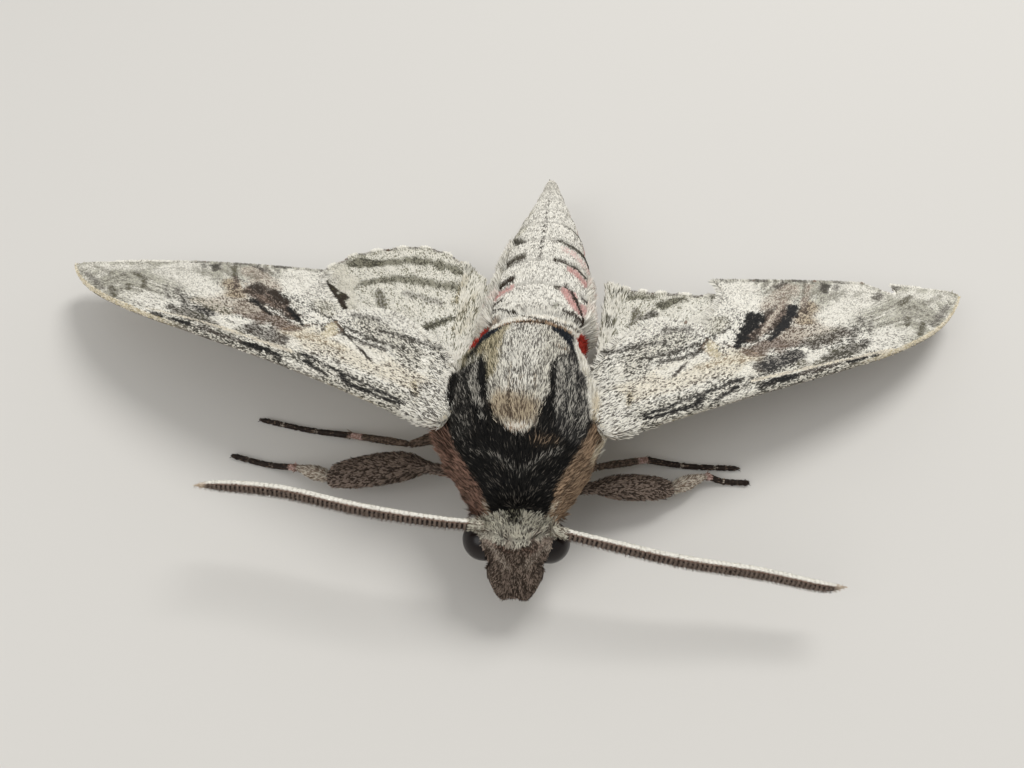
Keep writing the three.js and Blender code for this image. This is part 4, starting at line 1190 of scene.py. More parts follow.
# Streaks and patches of the forewing, broad ones first: path in s and c, half width at its start
# and end, softness, pale tone, dark tone, share of dark scales and strength.
FOREWING_MARKS = [
    ([(4.5, 0.2), (10, 0.3), (16.4, -0.4)], 0.9, 1.4, 1.0, "cream", "bark", 0.12, 0.6),
    ([(8.5, 0.9), (13.4, 1.2)], 0.35, 0.4, 0.6, "white", "ash", 0.06, 0.8),
    ([(5.8, 2.6), (9, 4.2), (13, 4.8)], 1.0, 1.2, 1.0, "chalk", "pepper", 0.5, 0.8),
    ([(8.2, 6.9), (13.5, 7.2)], 0.7, 0.9, 0.8, "white", "stone", 0.22, 0.8),
    ([(15.5, 5.4), (20, 6.6), (23.5, 9.5)], 1.0, 1.6, 0.9, "white", "stone", 0.34, 0.85),
    ([(16.8, 3.9), (18.6, 5.4)], 0.5, 0.6, 0.6, "chalk", "olive", 0.42, 0.8),
    ([(24.2, -0.9), (28.2, -0.5)], 0.6, 0.6, 0.6, "bone", "olive", 0.42, 0.85),
    ([(20.8, -3.1), (28.0, -3.0)], 0.4, 0.5, 0.5, "ash", "olive", 0.5, 0.8),
    ([(33.2, 5.8), (37.0, 5.4)], 0.7, 0.5, 0.6, "white", "ash", 0.2, 0.8),
    ([(12.6, 6.3), (14.8, 5.3)], 0.3, 0.25, 0.4, "stone", "pepper", 0.5, 0.7),
    ([(11.8, 0.3), (15.0, 0.0), (17.4, -0.4)], 0.2, 0.5, 0.6, "cream", "tan", 0.4, 0.55),
    ([(14.5, 1.4), (15.2, 2.8)], 0.5, 0.4, 0.25, "cream", "straw", 0.4, 0.8),
    ([(15.0, -2.0), (16.6, -1.4)], 0.3, 0.3, 0.4, "white", "ash", 0.1, 0.7),
    ([(17.3, -2.0), (20.3, -1.8)], 0.62, 0.6, 0.5, "stone", "umber", 0.6, 0.8),
    ([(17.6, 0.1), (20.5, 0.3), (24, 0.6)], 0.5, 0.8, 0.5, "mauve", "bark", 0.5, 0.85),
    ([(20.2, -0.6), (23.4, -0.3)], 0.35, 0.3, 0.4, "mauve", "bark", 0.5, 0.7),
    ([(22.6, 0.8), (27.2, 1.0)], 0.9, 0.9, 0.7, "bone", "bark", 0.32, 0.75),
    ([(26.0, 2.2), (28.8, 3.8)], 0.8, 0.7, 0.6, "tan", "bark", 0.4, 0.75),
    ([(24.6, 4.9), (29.5, 7.6)], 0.9, 0.9, 0.8, "bone", "mauve", 0.45, 0.8),
    ([(22.0, -2.7), (24.2, -2.3)], 0.3, 0.4, 0.45, "white", "ash", 0.06, 0.9),
    ([(21.4, -1.3), (22.8, -1.7)], 0.25, 0.25, 0.3, "white", "ash", 0.06, 0.85),
    ([(29.8, -3.3), (33.5, -2.6)], 0.55, 0.7, 0.8, "white", "stone", 0.1, 0.85),
    ([(28.6, 1.2), (32, 2.4), (36.6, 3.6)], 0.8, 1.3, 1.2, "white", "ash", 0.14, 0.85),
    ([(22.5, 6.4), (25, 9.4)], 0.9, 1.4, 0.9, "white", "ash", 0.1, 0.8),
    ([(39.5, 2.6), (43.5, 0.8), (45.2, 0.4)], 0.5, 0.5, 0.9, "white", "ash", 0.16, 0.7),
    ([(18.8, 1.8), (22, 2.7), (25.2, 3.6)], 0.45, 0.95, 0.5, "mauve", "umber", 0.74, 0.95),
    ([(23.6, -3.3), (28.2, -3.1)], 0.3, 0.3, 0.5, "stone", "pepper", 0.62, 0.75),
    ([(28.4, -3.1), (29.4, -2.7)], 0.24, 0.24, 0.4, "stone", "pepper", 0.78, 0.85),
    ([(27.4, -2.6), (28.6, -1.8), (30.3, -0.6)], 0.22, 0.1, 0.4, "stone", "pepper", 0.75, 0.8),
    ([(31.2, -0.5), (31.9, 0.4)], 0.14, 0.16, 0.4, "stone", "pepper", 0.62, 0.75),
    ([(27.2, 3.0), (28.3, 4.2), (29.6, 5.4)], 0.14, 0.16, 0.3, "mauve", "umber", 0.8, 0.85),
    ([(29.8, 5.6), (30.8, 6.5), (31.8, 7.4)], 0.16, 0.26, 0.3, "stone", "olive", 0.85, 0.9),
    ([(24.0, 4.4), (26.4, 5.2)], 0.3, 0.2, 0.4, "smoke", "umber", 0.7, 0.7),
    ([(32.4, 5.6), (33.6, 6.5)], 0.34, 0.4, 0.35, "smoke", "pepper", 0.85, 0.92),
    ([(33.8, 5.4), (34.8, 5.9)], 0.2, 0.2, 0.3, "stone", "pepper", 0.7, 0.7),
    ([(28.2, 8.1), (30.0, 8.7)], 0.25, 0.25, 0.3, "stone", "pepper", 0.75, 0.8),
    ([(35.8, -3.7), (38.0, -2.4)], 0.16, 0.2, 0.3, "stone", "olive", 0.8, 0.85),
    ([(36.0, -2.0), (37.0, -1.2)], 0.2, 0.16, 0.3, "stone", "olive", 0.78, 0.8),
    ([(38.5, -3.0), (43.5, -1.0)], 0.18, 0.22, 0.4, "stone", "smoke", 0.6, 0.65),
    ([(41.0, 0.1), (44.6, 0.7)], 0.16, 0.12, 0.35, "stone", "moss", 0.6, 0.55),
    ([(31.0, -1.6), (33.5, 0.2)], 0.12, 0.1, 0.3, "stone", "smoke", 0.6, 0.5),
    # fine lines across the base and round the pale cell
    ([(9.0, 0.25), (10.5, 0.9), (12.7, 1.9), (13.8, 2.5), (15.4, 3.3)], 0.05, 0.08, 0.1, "smoke",
     "umber", 0.9, 0.95),
    ([(13.8, 1.2), (13.9, 2.4), (15.2, 3.3), (15.9, 2.0), (17.3, 0.8), (18.0, -0.3)], 0.03, 0.04, 0.14,
     "fawn", "bark", 0.7, 0.6),
    ([(9.0, 2.5), (11.0, 2.0), (13.5, 2.15)], 0.12, 0.12, 0.3, "smoke", "pepper", 0.8, 0.75),
    ([(8.0, 3.5), (11.2, 2.9), (14.0, 3.15)], 0.14, 0.12, 0.3, "smoke", "pepper", 0.8, 0.75),
    ([(15.4, 3.4), (18.8, 3.9)], 0.06, 0.05, 0.15, "smoke", "pepper", 0.8, 0.8),
    ([(16.1, 2.6), (17.8, 3.2)], 0.22, 0.2, 0.25, "white", "ash", 0.04, 0.9),
    ([(4.2, 1.8), (5.8, 3.6)], 0.2, 0.25, 0.3, "white", "ash", 0.08, 0.85),
    ([(2.9, -1.4), (4.2, 0.0)], 0.1, 0.14, 0.25, "straw", "umber", 0.55, 0.7),
    ([(6.0, 5.6), (8.8, 5.3), (11.4, 4.6)], 0.2, 0.16, 0.4, "stone", "pepper", 0.7, 0.7),
    # the front strip
    ([(3.2, -3.0), (5.4, -3.35), (8.0, -3.4)], 0.13, 0.16, 0.15, "smoke", "ink", 0.9, 0.95),
    ([(3.6, -2.75), (9.0, -2.6), (14.0, -2.5)], 0.1, 0.08, 0.18, "smoke", "soot", 0.82, 0.85),
    ([(8.2, -3.8), (9.6, -2.9)], 0.24, 0.2, 0.2, "smoke", "ink", 0.9, 0.95),
    ([(10.5, -3.8), (13.2, -3.1)], 0.16, 0.2, 0.2, "smoke", "ink", 0.86, 0.9),
    ([(11.0, -4.0), (14.6, -4.1)], 0.2, 0.2, 0.25, "white", "ash", 0.1, 0.8),
    ([(15.0, -4.2), (17.0, -3.8)], 0.22, 0.26, 0.2, "smoke", "ink", 0.92, 0.95),
    ([(17.4, -4.1), (19.1, -4.1)], 0.36, 0.34, 0.2, "smoke", "ink", 0.95, 1.0),
    ([(19.6, -4.1), (24.5, -4.3)], 0.25, 0.22, 0.25, "stone", "umber", 0.8, 0.85),
    ([(24.5, -4.5), (29.4, -4.9)], 0.3, 0.3, 0.25, "chalk", "pepper", 0.5, 0.9),
    ([(25.5, -4.4), (27.3, -4.5)], 0.26, 0.26, 0.2, "smoke", "ink", 0.88, 0.95),
    ([(28.5, -4.6), (29.3, -4.6)], 0.22, 0.2, 0.2, "smoke", "ink", 0.85, 0.9),
]
# Marks that differ between the two wings.
WING_OWN_MARKS = {
    "right": [
        ([(17.2, 1.1), (19.0, 2.0), (20.2, 2.6)], 0.08, 0.36, 0.2, "smoke", "ink", 0.96, 1.0),
        ([(19.4, 3.3), (20.9, 3.6)], 0.2, 0.1, 0.3, "chalk", "stone", 0.3, 0.8),
        ([(21.2, 3.4), (23.8, 4.4)], 0.3, 0.3, 0.3, "smoke", "umber", 0.94, 1.0),
        ([(20.6, 0.8), (22.6, 1.5), (24.0, 2.0)], 0.1, 0.2, 0.25, "smoke", "ink", 0.9, 0.95),
        ([(21.6, 2.2), (24.4, 3.1)], 0.1, 0.12, 0.2, "mauve", "bark", 0.4, 0.8),
        ([(24.4, 3.5), (26.2, 4.5)], 0.26, 0.24, 0.3, "smoke", "umber", 0.85, 0.9),
        ([(25.0, -2.1), (27.3, -1.8)], 0.3, 0.34, 0.45, "stone", "soot", 0.72, 0.85),
        ([(15.0, -2.75), (24.0, -3.4), (31.0, -4.0)], 0.09, 0.1, 0.12, "cream", "bone", 0.4, 0.85),
        ([(35.0, -1.0), (36.5, 0.3), (39.0, 1.2)], 0.18, 0.12, 0.3, "stone", "olive", 0.82, 0.9),
    ],
    "left": [
        ([(16.9, 1.2), (19.0, 2.5), (21.8, 4.3)], 0.2, 0.85, 0.25, "smoke", "ink", 0.96, 1.0),
        ([(20.6, 0.8), (23.6, 2.2), (26.8, 4.1)], 0.16, 0.5, 0.25, "smoke", "soot", 0.94, 1.0),
        ([(20.2, 1.7), (24.6, 4.2), (28.2, 6.4)], 0.12, 0.24, 0.25, "bone", "mauve", 0.4, 0.95),
        ([(17.8, -2.1), (21.6, -1.7)], 0.5, 0.5, 0.45, "stone", "soot", 0.78, 0.95),
        ([(23.6, -1.2), (28.6, -0.7)], 0.5, 0.4, 0.6, "stone", "umber", 0.66, 0.85),
        ([(28.0, 4.2), (32.0, 7.2)], 0.16, 0.2, 0.4, "bone", "mauve", 0.4, 0.7),
        ([(15.0, -3.0), (24.0, -3.9), (31.0, -4.6)], 0.09, 0.1, 0.12, "cream", "bone", 0.4, 0.85),
        ([(38.2, 0.8), (41.0, 1.8)], 0.16, 0.12, 0.3, "stone", "olive", 0.8, 0.85),
        ([(36.6, 2.5), (37.8, 3.0)], 0.3, 0.25, 0.3, "stone", "smoke", 0.8, 0.9),
        ([(40.4, 3.4), (41.4, 3.7)], 0.25, 0.2, 0.25, "stone", "smoke", 0.8, 0.8),
    ],
}


def forewing_paint(side, s, c):
    front = front_edge(s)
    outward = rear_edge("right", s) - c
    ahead_s, ahead_c = wing_flow(s, c, False)
    run = s * ahead_s + c * ahead_c
    cross = c * ahead_s - s * ahead_c
    streak = cloud(5, run / 3.2, cross / 0.32) - 0.5
    patch = cloud(6, run / 2.4, cross / 1.1) - 0.5
    fleck = cloud(11, run / 0.8, cross / 0.2) - 0.5
    paint = Paint(len(s), "white", "pepper", 0.28)
    # smoother warm grey outer third, with darker and whiter streaks along the veins
    outer = smooth(s + 0.6 * c, 27, 35)
    paint.lay(outer, "sage", "stone", 0.35)
    paint.lay(outer * smooth(streak, 0.1, 0.32) * 0.55, "stone", "olive", 0.5)
    paint.lay(outer * smooth(-streak, 0.05, 0.3) * 0.7, "white", "ash", 0.15)
    strip = fade(c - front, 1.6, 2.6) * fade(s, 26, 31)
    paint.lay(strip * 0.7, "chalk", "pepper", 0.5)
    fray = cloud(7, run / 1.5, cross / 0.26) + 0.5 * cloud(14, run / 0.7, cross / 0.14) - 0.75
    lay_marks(paint, s, c, FOREWING_MARKS + WING_OWN_MARKS[side], 0.62 * fray)
    rough = 1 - 0.5 * outer
    paint.fleck((0.2 * streak + 0.18 * patch + 0.34 * fleck) * rough * fade(paint.share, 0.8, 0.95),
                0.02, 0.98)
    # wavy lines that follow the outer edge, and dark dashes that end between the veins
    wave = 0.45 * np.cos(s * 2.1 + c * 1.4)
    for inset in (3.4, 4.5):
        line = band(outward + wave, inset, 0.12, 0.25) * smooth(s, CORNER[0], 26) * smooth(c, 1, 4)
        paint.lay(line * 0.4, "stone", "moss", 0.7)
    check = smooth(np.cos((s - CORNER[0]) * 1.55), 0.0, 0.5) * fade(outward, 0.7, 1.1)
    paint.lay(check * smooth(s, CORNER[0], 25) * fade(s, 36, 42) * 0.7, "smoke", "pepper", 0.75)
    # the front rim: speckled near the body, then a narrow cream edge out to the tip
    rim_width = 0.2 * smooth(s, 28, 35) + 0.06
    behind = c - front
    paint.lay(fade(behind, 0.1, 0.5) * fade(s, 24, 30) * 0.6, "chalk", "pepper", 0.42)
    paint.lay(fade(behind, rim_width, rim_width + 0.12) * smooth(s, 24, 31), "cream", "straw", 0.3)
    paint.lay(fade(s, 1.6, 3.6), "white", "smoke", 0.3)
    return paint


# Marks of each hindwing in its own s and c, as for the forewing.
HINDWING_MARKS = {
    "right": [
        ([(10.0, 16.4), (13.2, 15.4), (15.3, 15.0), (17.5, 14.2), (19.5, 13.2)], 0.36, 0.4, 0.7,
         "moss", "pepper", 0.45, 0.8),
        ([(10.8, 18.9), (14.0, 18.5), (16.8, 18.3), (18.8, 17.8), (21.0, 17.0)], 0.5, 0.6, 0.6,
         "moss", "pepper", 0.42, 0.85),
        ([(21.0, 17.0), (23.6, 16.8)], 0.6, 0.9, 0.5, "moss", "pepper", 0.6, 0.9),
        ([(10.6, 13.2), (14.2, 12.8)], 0.25, 0.25, 0.5, "stone", "pepper", 0.5, 0.6),
        ([(14.9, 9.8), (17.0, 12.1)], 0.16, 0.3, 0.35, "stone", "olive", 0.75, 0.85),
        ([(19.6, 11.6), (21.5, 14.0)], 0.14, 0.2, 0.4, "stone", "olive", 0.5, 0.6),
        ([(16.4, 6.4), (22.0, 13.0), (25.0, 15.0)], 0.7, 0.9, 0.5, "chalk", "lichen", 0.3, 0.9),
        # the next two: a dark band just behind the forewing's rear edge, dark scales together with
        # painted shadow of the forewing
        ([(16.0, 5.0), (18.4, 7.6), (20.0, 9.6)], 0.3, 0.8, 0.2, "olive", "umber", 0.9, 1.0),
        ([(20.2, 9.1), (22.4, 10.8), (24.8, 12.2)], 0.6, 0.24, 0.2, "olive", "umber", 0.9, 1.0),
        ([(7.3, 10.6), (8.1, 15.2)], 0.16, 0.22, 0.4, "straw", "olive", 0.6, 0.85),
        ([(9.6, 9.3), (8.3, 11.8)], 0.3, 0.2, 0.4, "moss", "pepper", 0.8, 0.9),
        ([(9.4, 14.3), (10.2, 17.4)], 0.2, 0.24, 0.4, "straw", "olive", 0.6, 0.8),
        ([(6.2, 9.5), (6.8, 13.5)], 0.12, 0.16, 0.4, "straw", "olive", 0.5, 0.7),
    ],
    "left": [
        ([(15.8, 10.9), (19.2, 11.5)], 0.28, 0.3, 0.45, "moss", "pepper", 0.6, 0.9),
        ([(12.2, 13.5), (16.0, 12.3)], 0.28, 0.32, 0.45, "moss", "pepper", 0.6, 0.9),
        ([(12.8, 9.7), (14.5, 10.1)], 0.22, 0.25, 0.3, "stone", "pepper", 0.7, 0.85),
        ([(11.0, 9.0), (13.0, 10.9)], 0.14, 0.2, 0.35, "stone", "olive", 0.7, 0.8),
        ([(9.0, 9.7), (9.5, 10.3)], 0.25, 0.2, 0.3, "moss", "pepper", 0.75, 0.85),
    ],
}


def hindwing_paint(side, s, c):
    angle, r, inward = fan_place(side, s, c)
    wander = cloud(8, s / 1.6, c / 1.4) - 0.5
    streak = cloud(9, r / 2.6, angle / 1.2) - 0.5
    fleck = cloud(13, r / 0.8, angle / 0.6) - 0.5
    paint = Paint(len(s), "white", "moss", 0.15)
    paint.lay(smooth(r, 9, 12) * fade(angle, 62, 70) * 0.5, "chalk", "moss", 0.24)
    lay_marks(paint, s, c, HINDWING_MARKS[side], 0.5 * wander + 0.7 * streak)
    at_vein = smooth(lobe(angle), 0.5, 0.95)
    paint.share = paint.share - 0.6 * at_vein * smooth(r, 9, 12) * fade(angle, 58, 62) * paint.share
    paint.lay(band(inward, 0.9, 0.35, 0.4) * 0.5, "chalk", "moss", 0.4)
    paint.fleck((0.32 * streak + 0.25 * fleck) * fade(paint.share, 0.8, 0.95), 0.02, 0.97)
    return paint


def under_paint(s, c):
    """Plainer markings below: pale fawn grey, cream towards the body, darker towards the edges."""
    mottle = cloud(10, s / 2.6, c / 1.4) - 0.5
    paint = Paint(len(s), "ash", "fur_brown", 0.42)
    paint.lay(fade(s, 6, 16), "cream", "straw", 0.3)
    paint.lay(band(s + 0.5 * c, 27, 0.8, 1.2) * 0.6, "stone", "smoke", 0.6)
    paint.fleck(0.3 * mottle, 0.05, 0.95)
    return paint


def wing_paint(side, s, c, hind):
    return hindwing_paint(side, s, c) if hind else forewing_paint(side, s, c)


HAIR_REACH = {"left": 45, "right": 27}     # degrees round the fan where the long inner hair ends
FRINGE_SPACING = 0.055
FRINGE_LAYERS = 3
EDGE_STEP = 0.2                   # how far along a surface its direction is measured
FORE_EDGE = 52                    # about how long the fringed edge of each wing is
HIND_EDGE = 29
# Where a wing's OFBake map starts in s and c, and how far it reaches.
WING_MAPS = {"forewing": ((0, -7.5), (48, 21)), "hindwing": ((0, 0), (32, 30))}


def clear_of_trunk(points):
    return around_trunk(points)[1] > 0.9


def wing_unwrap(hind):
    start, size = WING_MAPS["hindwing" if hind else "forewing"]

    def unwrap(roots):
        return (np.stack([roots["s"], roots["c"]], axis=1) - start) / size
    return unwrap


def fringe_roots(side, hind, rng):
    """Roots and outward directions of the long scales along a wing's outer edge."""
    count = int((HIND_EDGE if hind else FORE_EDGE) / FRINGE_SPACING)
    steps = np.tile(np.arange(count) + rng.random(count), FRINGE_LAYERS)
    if hind:
        angle, reach = fan_edge(side, steps / count)
        s, c = from_fan(angle, reach - FRINGE - 0.15 * rng.random(len(steps)))
        out = np.stack([np.sin(np.radians(angle)), np.cos(np.radians(angle))], axis=1)
    else:
        s = 4.0 + (TIP_S - 4.2) * steps / count
        c = rear_edge(side, s) - fringe_inset(s) - 0.15 * rng.random(len(s))
        slope = (rear_edge("right", s + EDGE_STEP) - rear_edge("right", s - EDGE_STEP)) / (2 * EDGE_STEP)
        out = unit(np.stack([-slope + 0.35, np.ones(len(s))], axis=1))
    flat = np.zeros_like(s)
    here = on_wing(side, s, c, flat, hind)
    ahead = on_wing(side, s + EDGE_STEP * out[:, 0], c + EDGE_STEP * out[:, 1], flat, hind)
    normal = np.tile(wing_axes(side)[3], (len(s), 1))
    return {"point": here, "normal": normal, "s": s, "c": c}, ahead - here


def dress_wing(side, hind, seed):
    kind = "hindwing" if hind else "forewing"
    name = f"{kind}_{side}"
    skin = wing_skin(side, hind)
    s, c, top = (skin.values[key] for key in ("s", "c", "top"))
    on_top = top > 0.5
    # the wing's skin is darkened as painted shade under its scales
    tones = np.where(on_top[:, None], wing_paint(side, s, c, hind).blended(0.8),
                     under_paint(s, c).blended(0.8))
    piece = quad_piece(f"{name}_skin", skin.points, skin.quads, "wing_skin", tones)
    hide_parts(name)
    pelt = Pelt(skin, lambda roots: wing_paint(side, roots["s"], roots["c"], hind),
                lambda roots: wing_lie(side, roots["s"], roots["c"], hind), wing_unwrap(hind),
                f"{kind}_scales", "wing_scales")
    clear = clear_of_trunk(skin.points)
    upper = on_top & clear
    if hind:
        upper &= (c > rear_edge(side, np.minimum(s, TIP_S)) - 1.6) | (s > TIP_S)
        inset = fan_place(side, s, c)[2]
    else:
        inset = np.minimum(rear_edge(side, s) - c, c - front_edge(s) + 0.2)
    roots, rng = skin.scatter(0.125 if hind else 0.114, seed, upper)
    rooted = fade(roots["s"], 2.5, 6)
    pelt.grow(f"{name}_scales", roots, rng, SCALE, 0.32 + 0.3 * rooted, 0.12, 8 + 5 * rooted, droop=0.03,
              stray=9.0, root_shade=0.8, sink=0.01)
    if not hind:
        roots, rng = skin.scatter(0.108, seed + 3, s < 4.2)
        root_s = roots["s"]
        paint = pelt.paint(roots)
        brown = fade(root_s, 0.2, 1.0) * fade(roots["c"], -3.3, -2.7)
        paint.lay(brown * 0.7, "bone", "bark", 0.4)
        pelt.grow(f"{name}_root_hair", roots, rng, HAIR, 0.95 - 0.3 * smooth(root_s, 1, 4), 0.095, 15,
                  paint, material="long_hair", stray=11.0)
    roots, rng = skin.scatter(0.29, seed + 1, ~on_top & clear & (inset > 0.75))
    paint = under_paint(roots["s"], roots["c"])
    pelt.grow(f"{name}_under_scales", roots, rng, SCALE, 0.52, 0.31, 8, paint, droop=0.03, stray=9.0,
              root_shade=0.75, sink=0.01)
    rng = np.random.default_rng([SEED, seed + 2])
    roots, out = fringe_roots(side, hind, rng)
    paint = pelt.paint(roots)
    if hind:
        tuft = smooth(lobe(fan_place(side, roots["s"], roots["c"])[0]), -0.1, 0.6)
        paint.lay(1 - tuft, "ash", "smoke", 0.45)
        paint.lay(tuft, "white", "chalk", 0.1)
        length = 0.62 + 0.2 * tuft
    else:
        length = 0.68 * np.where(roots["s"] > 44, 0.6, 1.0)
        paint.lay(smooth(roots["s"], 34, 40), "white", "ash", 0.25)
    pelt.grow(f"{name}_fringe", roots, rng, HAIR, length, 0.13, 5, paint, out, droop=0.08, stray=8.0,
              root_shade=0.7, sink=0.0)
    return pelt


def inner_margin_hair(side, pelt, seed):
    """Long pale hair over the hindwing's inner part and beside the body."""
    s, c, top = (pelt.skin.values[key] for key in ("s", "c", "top"))
    angle, _, inward = fan_place(side, s, c)
    here = (top > 0.5) & (angle < HAIR_REACH[side]) & (inward > 1.0)
    roots, rng = pelt.skin.scatter(0.13, seed, here)
    paint = pelt.paint(roots)
    paint.lay(np.full(len(roots["s"]), 0.5), "white")
    pelt.grow(f"hindwing_{side}_hair", roots, rng, HAIR, 1.25, 0.12, 13, paint,
              pelt.lie(roots) + 0.08 * np.array([0.0, 1.0, 0.1]), material="long_hair", droop=0.06,
              stray=9.0, root_shade=0.65)


# ---- tubes: antennae and legs --------------------------------------------------------------------

UP = np.array([0.0, 0.0, 1.0])


class Tube:
    """A flattened tube along a line of middles, with directions out of it at every ring."""

    def __init__(self, middles, half_across, half_height, columns, floor=False):
        self.forward = unit(np.gradient(middles, axis=0))
        self.across = unit(np.cross(self.forward, UP))
        lift = np.cross(self.across, self.forward)
        self.middles = middles
        self.travelled = way_along(middles)
        rings = len(middles)
        turn = np.linspace(0, 2 * math.pi, columns, endpoint=False)[None, :]
        sideways = (half_across * np.sin(turn))[..., None] * self.across[:, None]
        upwards = (half_height * np.cos(turn))[..., None] * lift[:, None]
        points = middles[:, None] + sideways + upwards
        if floor:
            points[..., 2] = np.maximum(points[..., 2], 0.0)
        points = points.reshape(-1, 3)
        quads = facing_out(points, closed_faces(rings, columns, turned_first=True))
        ring = np.repeat(np.arange(rings), columns)
        self.skin = Skin(points, quads, at=self.travelled[ring], ahead=self.forward[ring],
                         turn_x=np.tile(np.sin(turn[0]), rings), turn_z=np.tile(np.cos(turn[0]), rings))


def tube_pelt(tube, paint, slot, material):
    """The pelt of a tube, whose hairs lie along it."""
    def unwrap(roots):
        turn = np.arctan2(roots["turn_x"], roots["turn_z"]) / (2 * math.pi) + 0.5
        return np.stack([turn * 0.98, roots["at"] / tube.travelled[-1]], axis=1)
    return Pelt(tube.skin, paint, lambda roots: roots["ahead"], unwrap, slot, material)


# ---- antennae ------------------------------------------------------------------------------------

ANTENNA_PATHS = {
    "right": [[-2.5, -9.9, 8.2], [-5.9, -9.85, 8.4], [-12, -9.1, 8.45], [-18.4, -7.9, 8.55],
              [-23.3, -7.6, 8.5], [-25, -7.75, 8.6]],
    "left": [[2.6, -9.9, 8.0], [6.3, -10.5, 7.55], [12.5, -11.3, 6.7], [18.7, -11.6, 5.85],
             [23.8, -12.1, 5.15], [25.4, -12.0, 5.0]],
}
# Share of the way along, then half width and half height with the scales.
ANTENNA_WIDTHS = [[0, 0.34, 0.4], [0.15, 0.42, 0.55], [0.5, 0.48, 0.64], [0.75, 0.43, 0.56],
                  [0.92, 0.24, 0.27], [1, 0.12, 0.12]]
ANTENNA_RINGS = 460
ANTENNA_COLUMNS = 28
UNDER_SCALES = 0.93               # share of those widths that the skin under the scales has
RIB_PITCH = 0.37
WHITE_AHEAD = -14                 # degrees from the top, positive to the rear, where the white back ends
WHITE_BEHIND = 88


def turn_rearward(side, values):
    """Degrees round a feeler from its top, positive to the rear."""
    return np.degrees(np.arctan2(-SIDES[side] * values["turn_x"], values["turn_z"]))


def antenna_paint(side, values):
    turn = turn_rearward(side, values)
    at = values["at"]
    rib = np.cos(2 * math.pi * at / RIB_PITCH)
    paint = Paint(len(at), "mauve", "chocolate", 0.6)
    paint.fleck(-0.85 * rib, 0.06, 1.0)
    white = smooth(turn, WHITE_AHEAD - 5, WHITE_AHEAD + 5) * fade(turn, WHITE_BEHIND, WHITE_BEHIND + 12)
    paint.lay(band(turn, WHITE_AHEAD - 7, 5, 5) * 0.7, "rosy_fawn", "bark", 0.35)
    paint.lay(white, "white", "ash", 0.12)
    paint.lay(white * smooth(-rib, 0.55, 0.9) * 0.5, "ash", "stone", 0.6)
    paint.lay(fade(at, 0.8, 1.2), "lichen", "bark", 0.42)
    paint.lay(smooth(at, at.max() - 1.1, at.max() - 0.5), "bone", "fawn", 0.5)
    return paint


def antenna(side, seed):
    share = np.linspace(0, 1, ANTENNA_RINGS)
    middles = curve_through(ANTENNA_PATHS[side], share)
    travelled = way_along(middles)
    widths = along(ANTENNA_WIDTHS, share) * UNDER_SCALES
    turn = np.linspace(0, 2 * math.pi, ANTENNA_COLUMNS, endpoint=False)[None, :]
    # rounded ribs on the front and underside, almost level along the white back
    rib = 0.5 + 0.5 * np.cos(2 * math.pi * travelled / RIB_PITCH)[:, None]
    leaning = -SIDES[side] * np.sin(turn)
    ribbed = 0.25 + 0.75 * fade(np.cos(turn) + 0.5 * leaning, -0.1, 0.6)
    swell = 1 - 0.17 * (1 - rib ** 0.6) * ribbed
    first_joint = np.exp(-((travelled - 0.9) / 0.6) ** 2)[:, None]
    swell = swell + 0.2 * first_joint * (1 - 0.4 * np.abs(rib - 0.5))
    tip = 1 - 0.5 * smooth(travelled, travelled[-1] - 0.6, travelled[-1])[:, None]
    tube = Tube(middles, widths[:, :1] * swell * tip, widths[:, 1:] * swell * tip, ANTENNA_COLUMNS)
    skin = tube.skin
    # the feeler's skin is darkened a little as painted shade under its scales
    piece = quad_piece(f"antenna_{side}_skin", skin.points, skin.quads, "feeler",
                       antenna_paint(side, skin.values).blended(0.92))
    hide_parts(f"antenna_{side}")
    pelt = tube_pelt(tube, lambda roots: antenna_paint(side, roots), "antenna", "feeler_hair")
    at = skin.values["at"]
    turn = turn_rearward(side, skin.values)
    white = (turn > WHITE_AHEAD) & (turn < WHITE_BEHIND)
    pelt.coat(f"antenna_{side}_scales", 0.085, seed, white & (at > 0.9), SCALE, 0.2, 0.1, 1.5, droop=0.02,
              stray=5.0, root_shade=0.85, sink=0.01)
    # the first joint is shaggy all round
    roots, rng = skin.scatter(0.08, seed + 2, at < 1.1)
    pelt.grow(f"antenna_{side}_base_hair", roots, rng, HAIR, 0.3, 0.07, 15,
              Paint(len(roots["at"]), "lichen", "bark", 0.42), stray=18.0, root_shade=0.6, sink=0.01)
    # short fine hairs standing out from the ribs in front and below
    rib = np.cos(2 * math.pi * at / RIB_PITCH)
    pelt.coat(f"antenna_{side}_hair", 0.075, seed + 1, ~white & (rib > 0.1) & (at > 1.2), HAIR, 0.24,
              0.035, 64, droop=0.05, stray=15.0, root_shade=0.7, sink=0.01)


# ---- legs ----------------------------------------------------------------------------------------

FOOT = 0.28                       # height of a foot's middle line above the ground
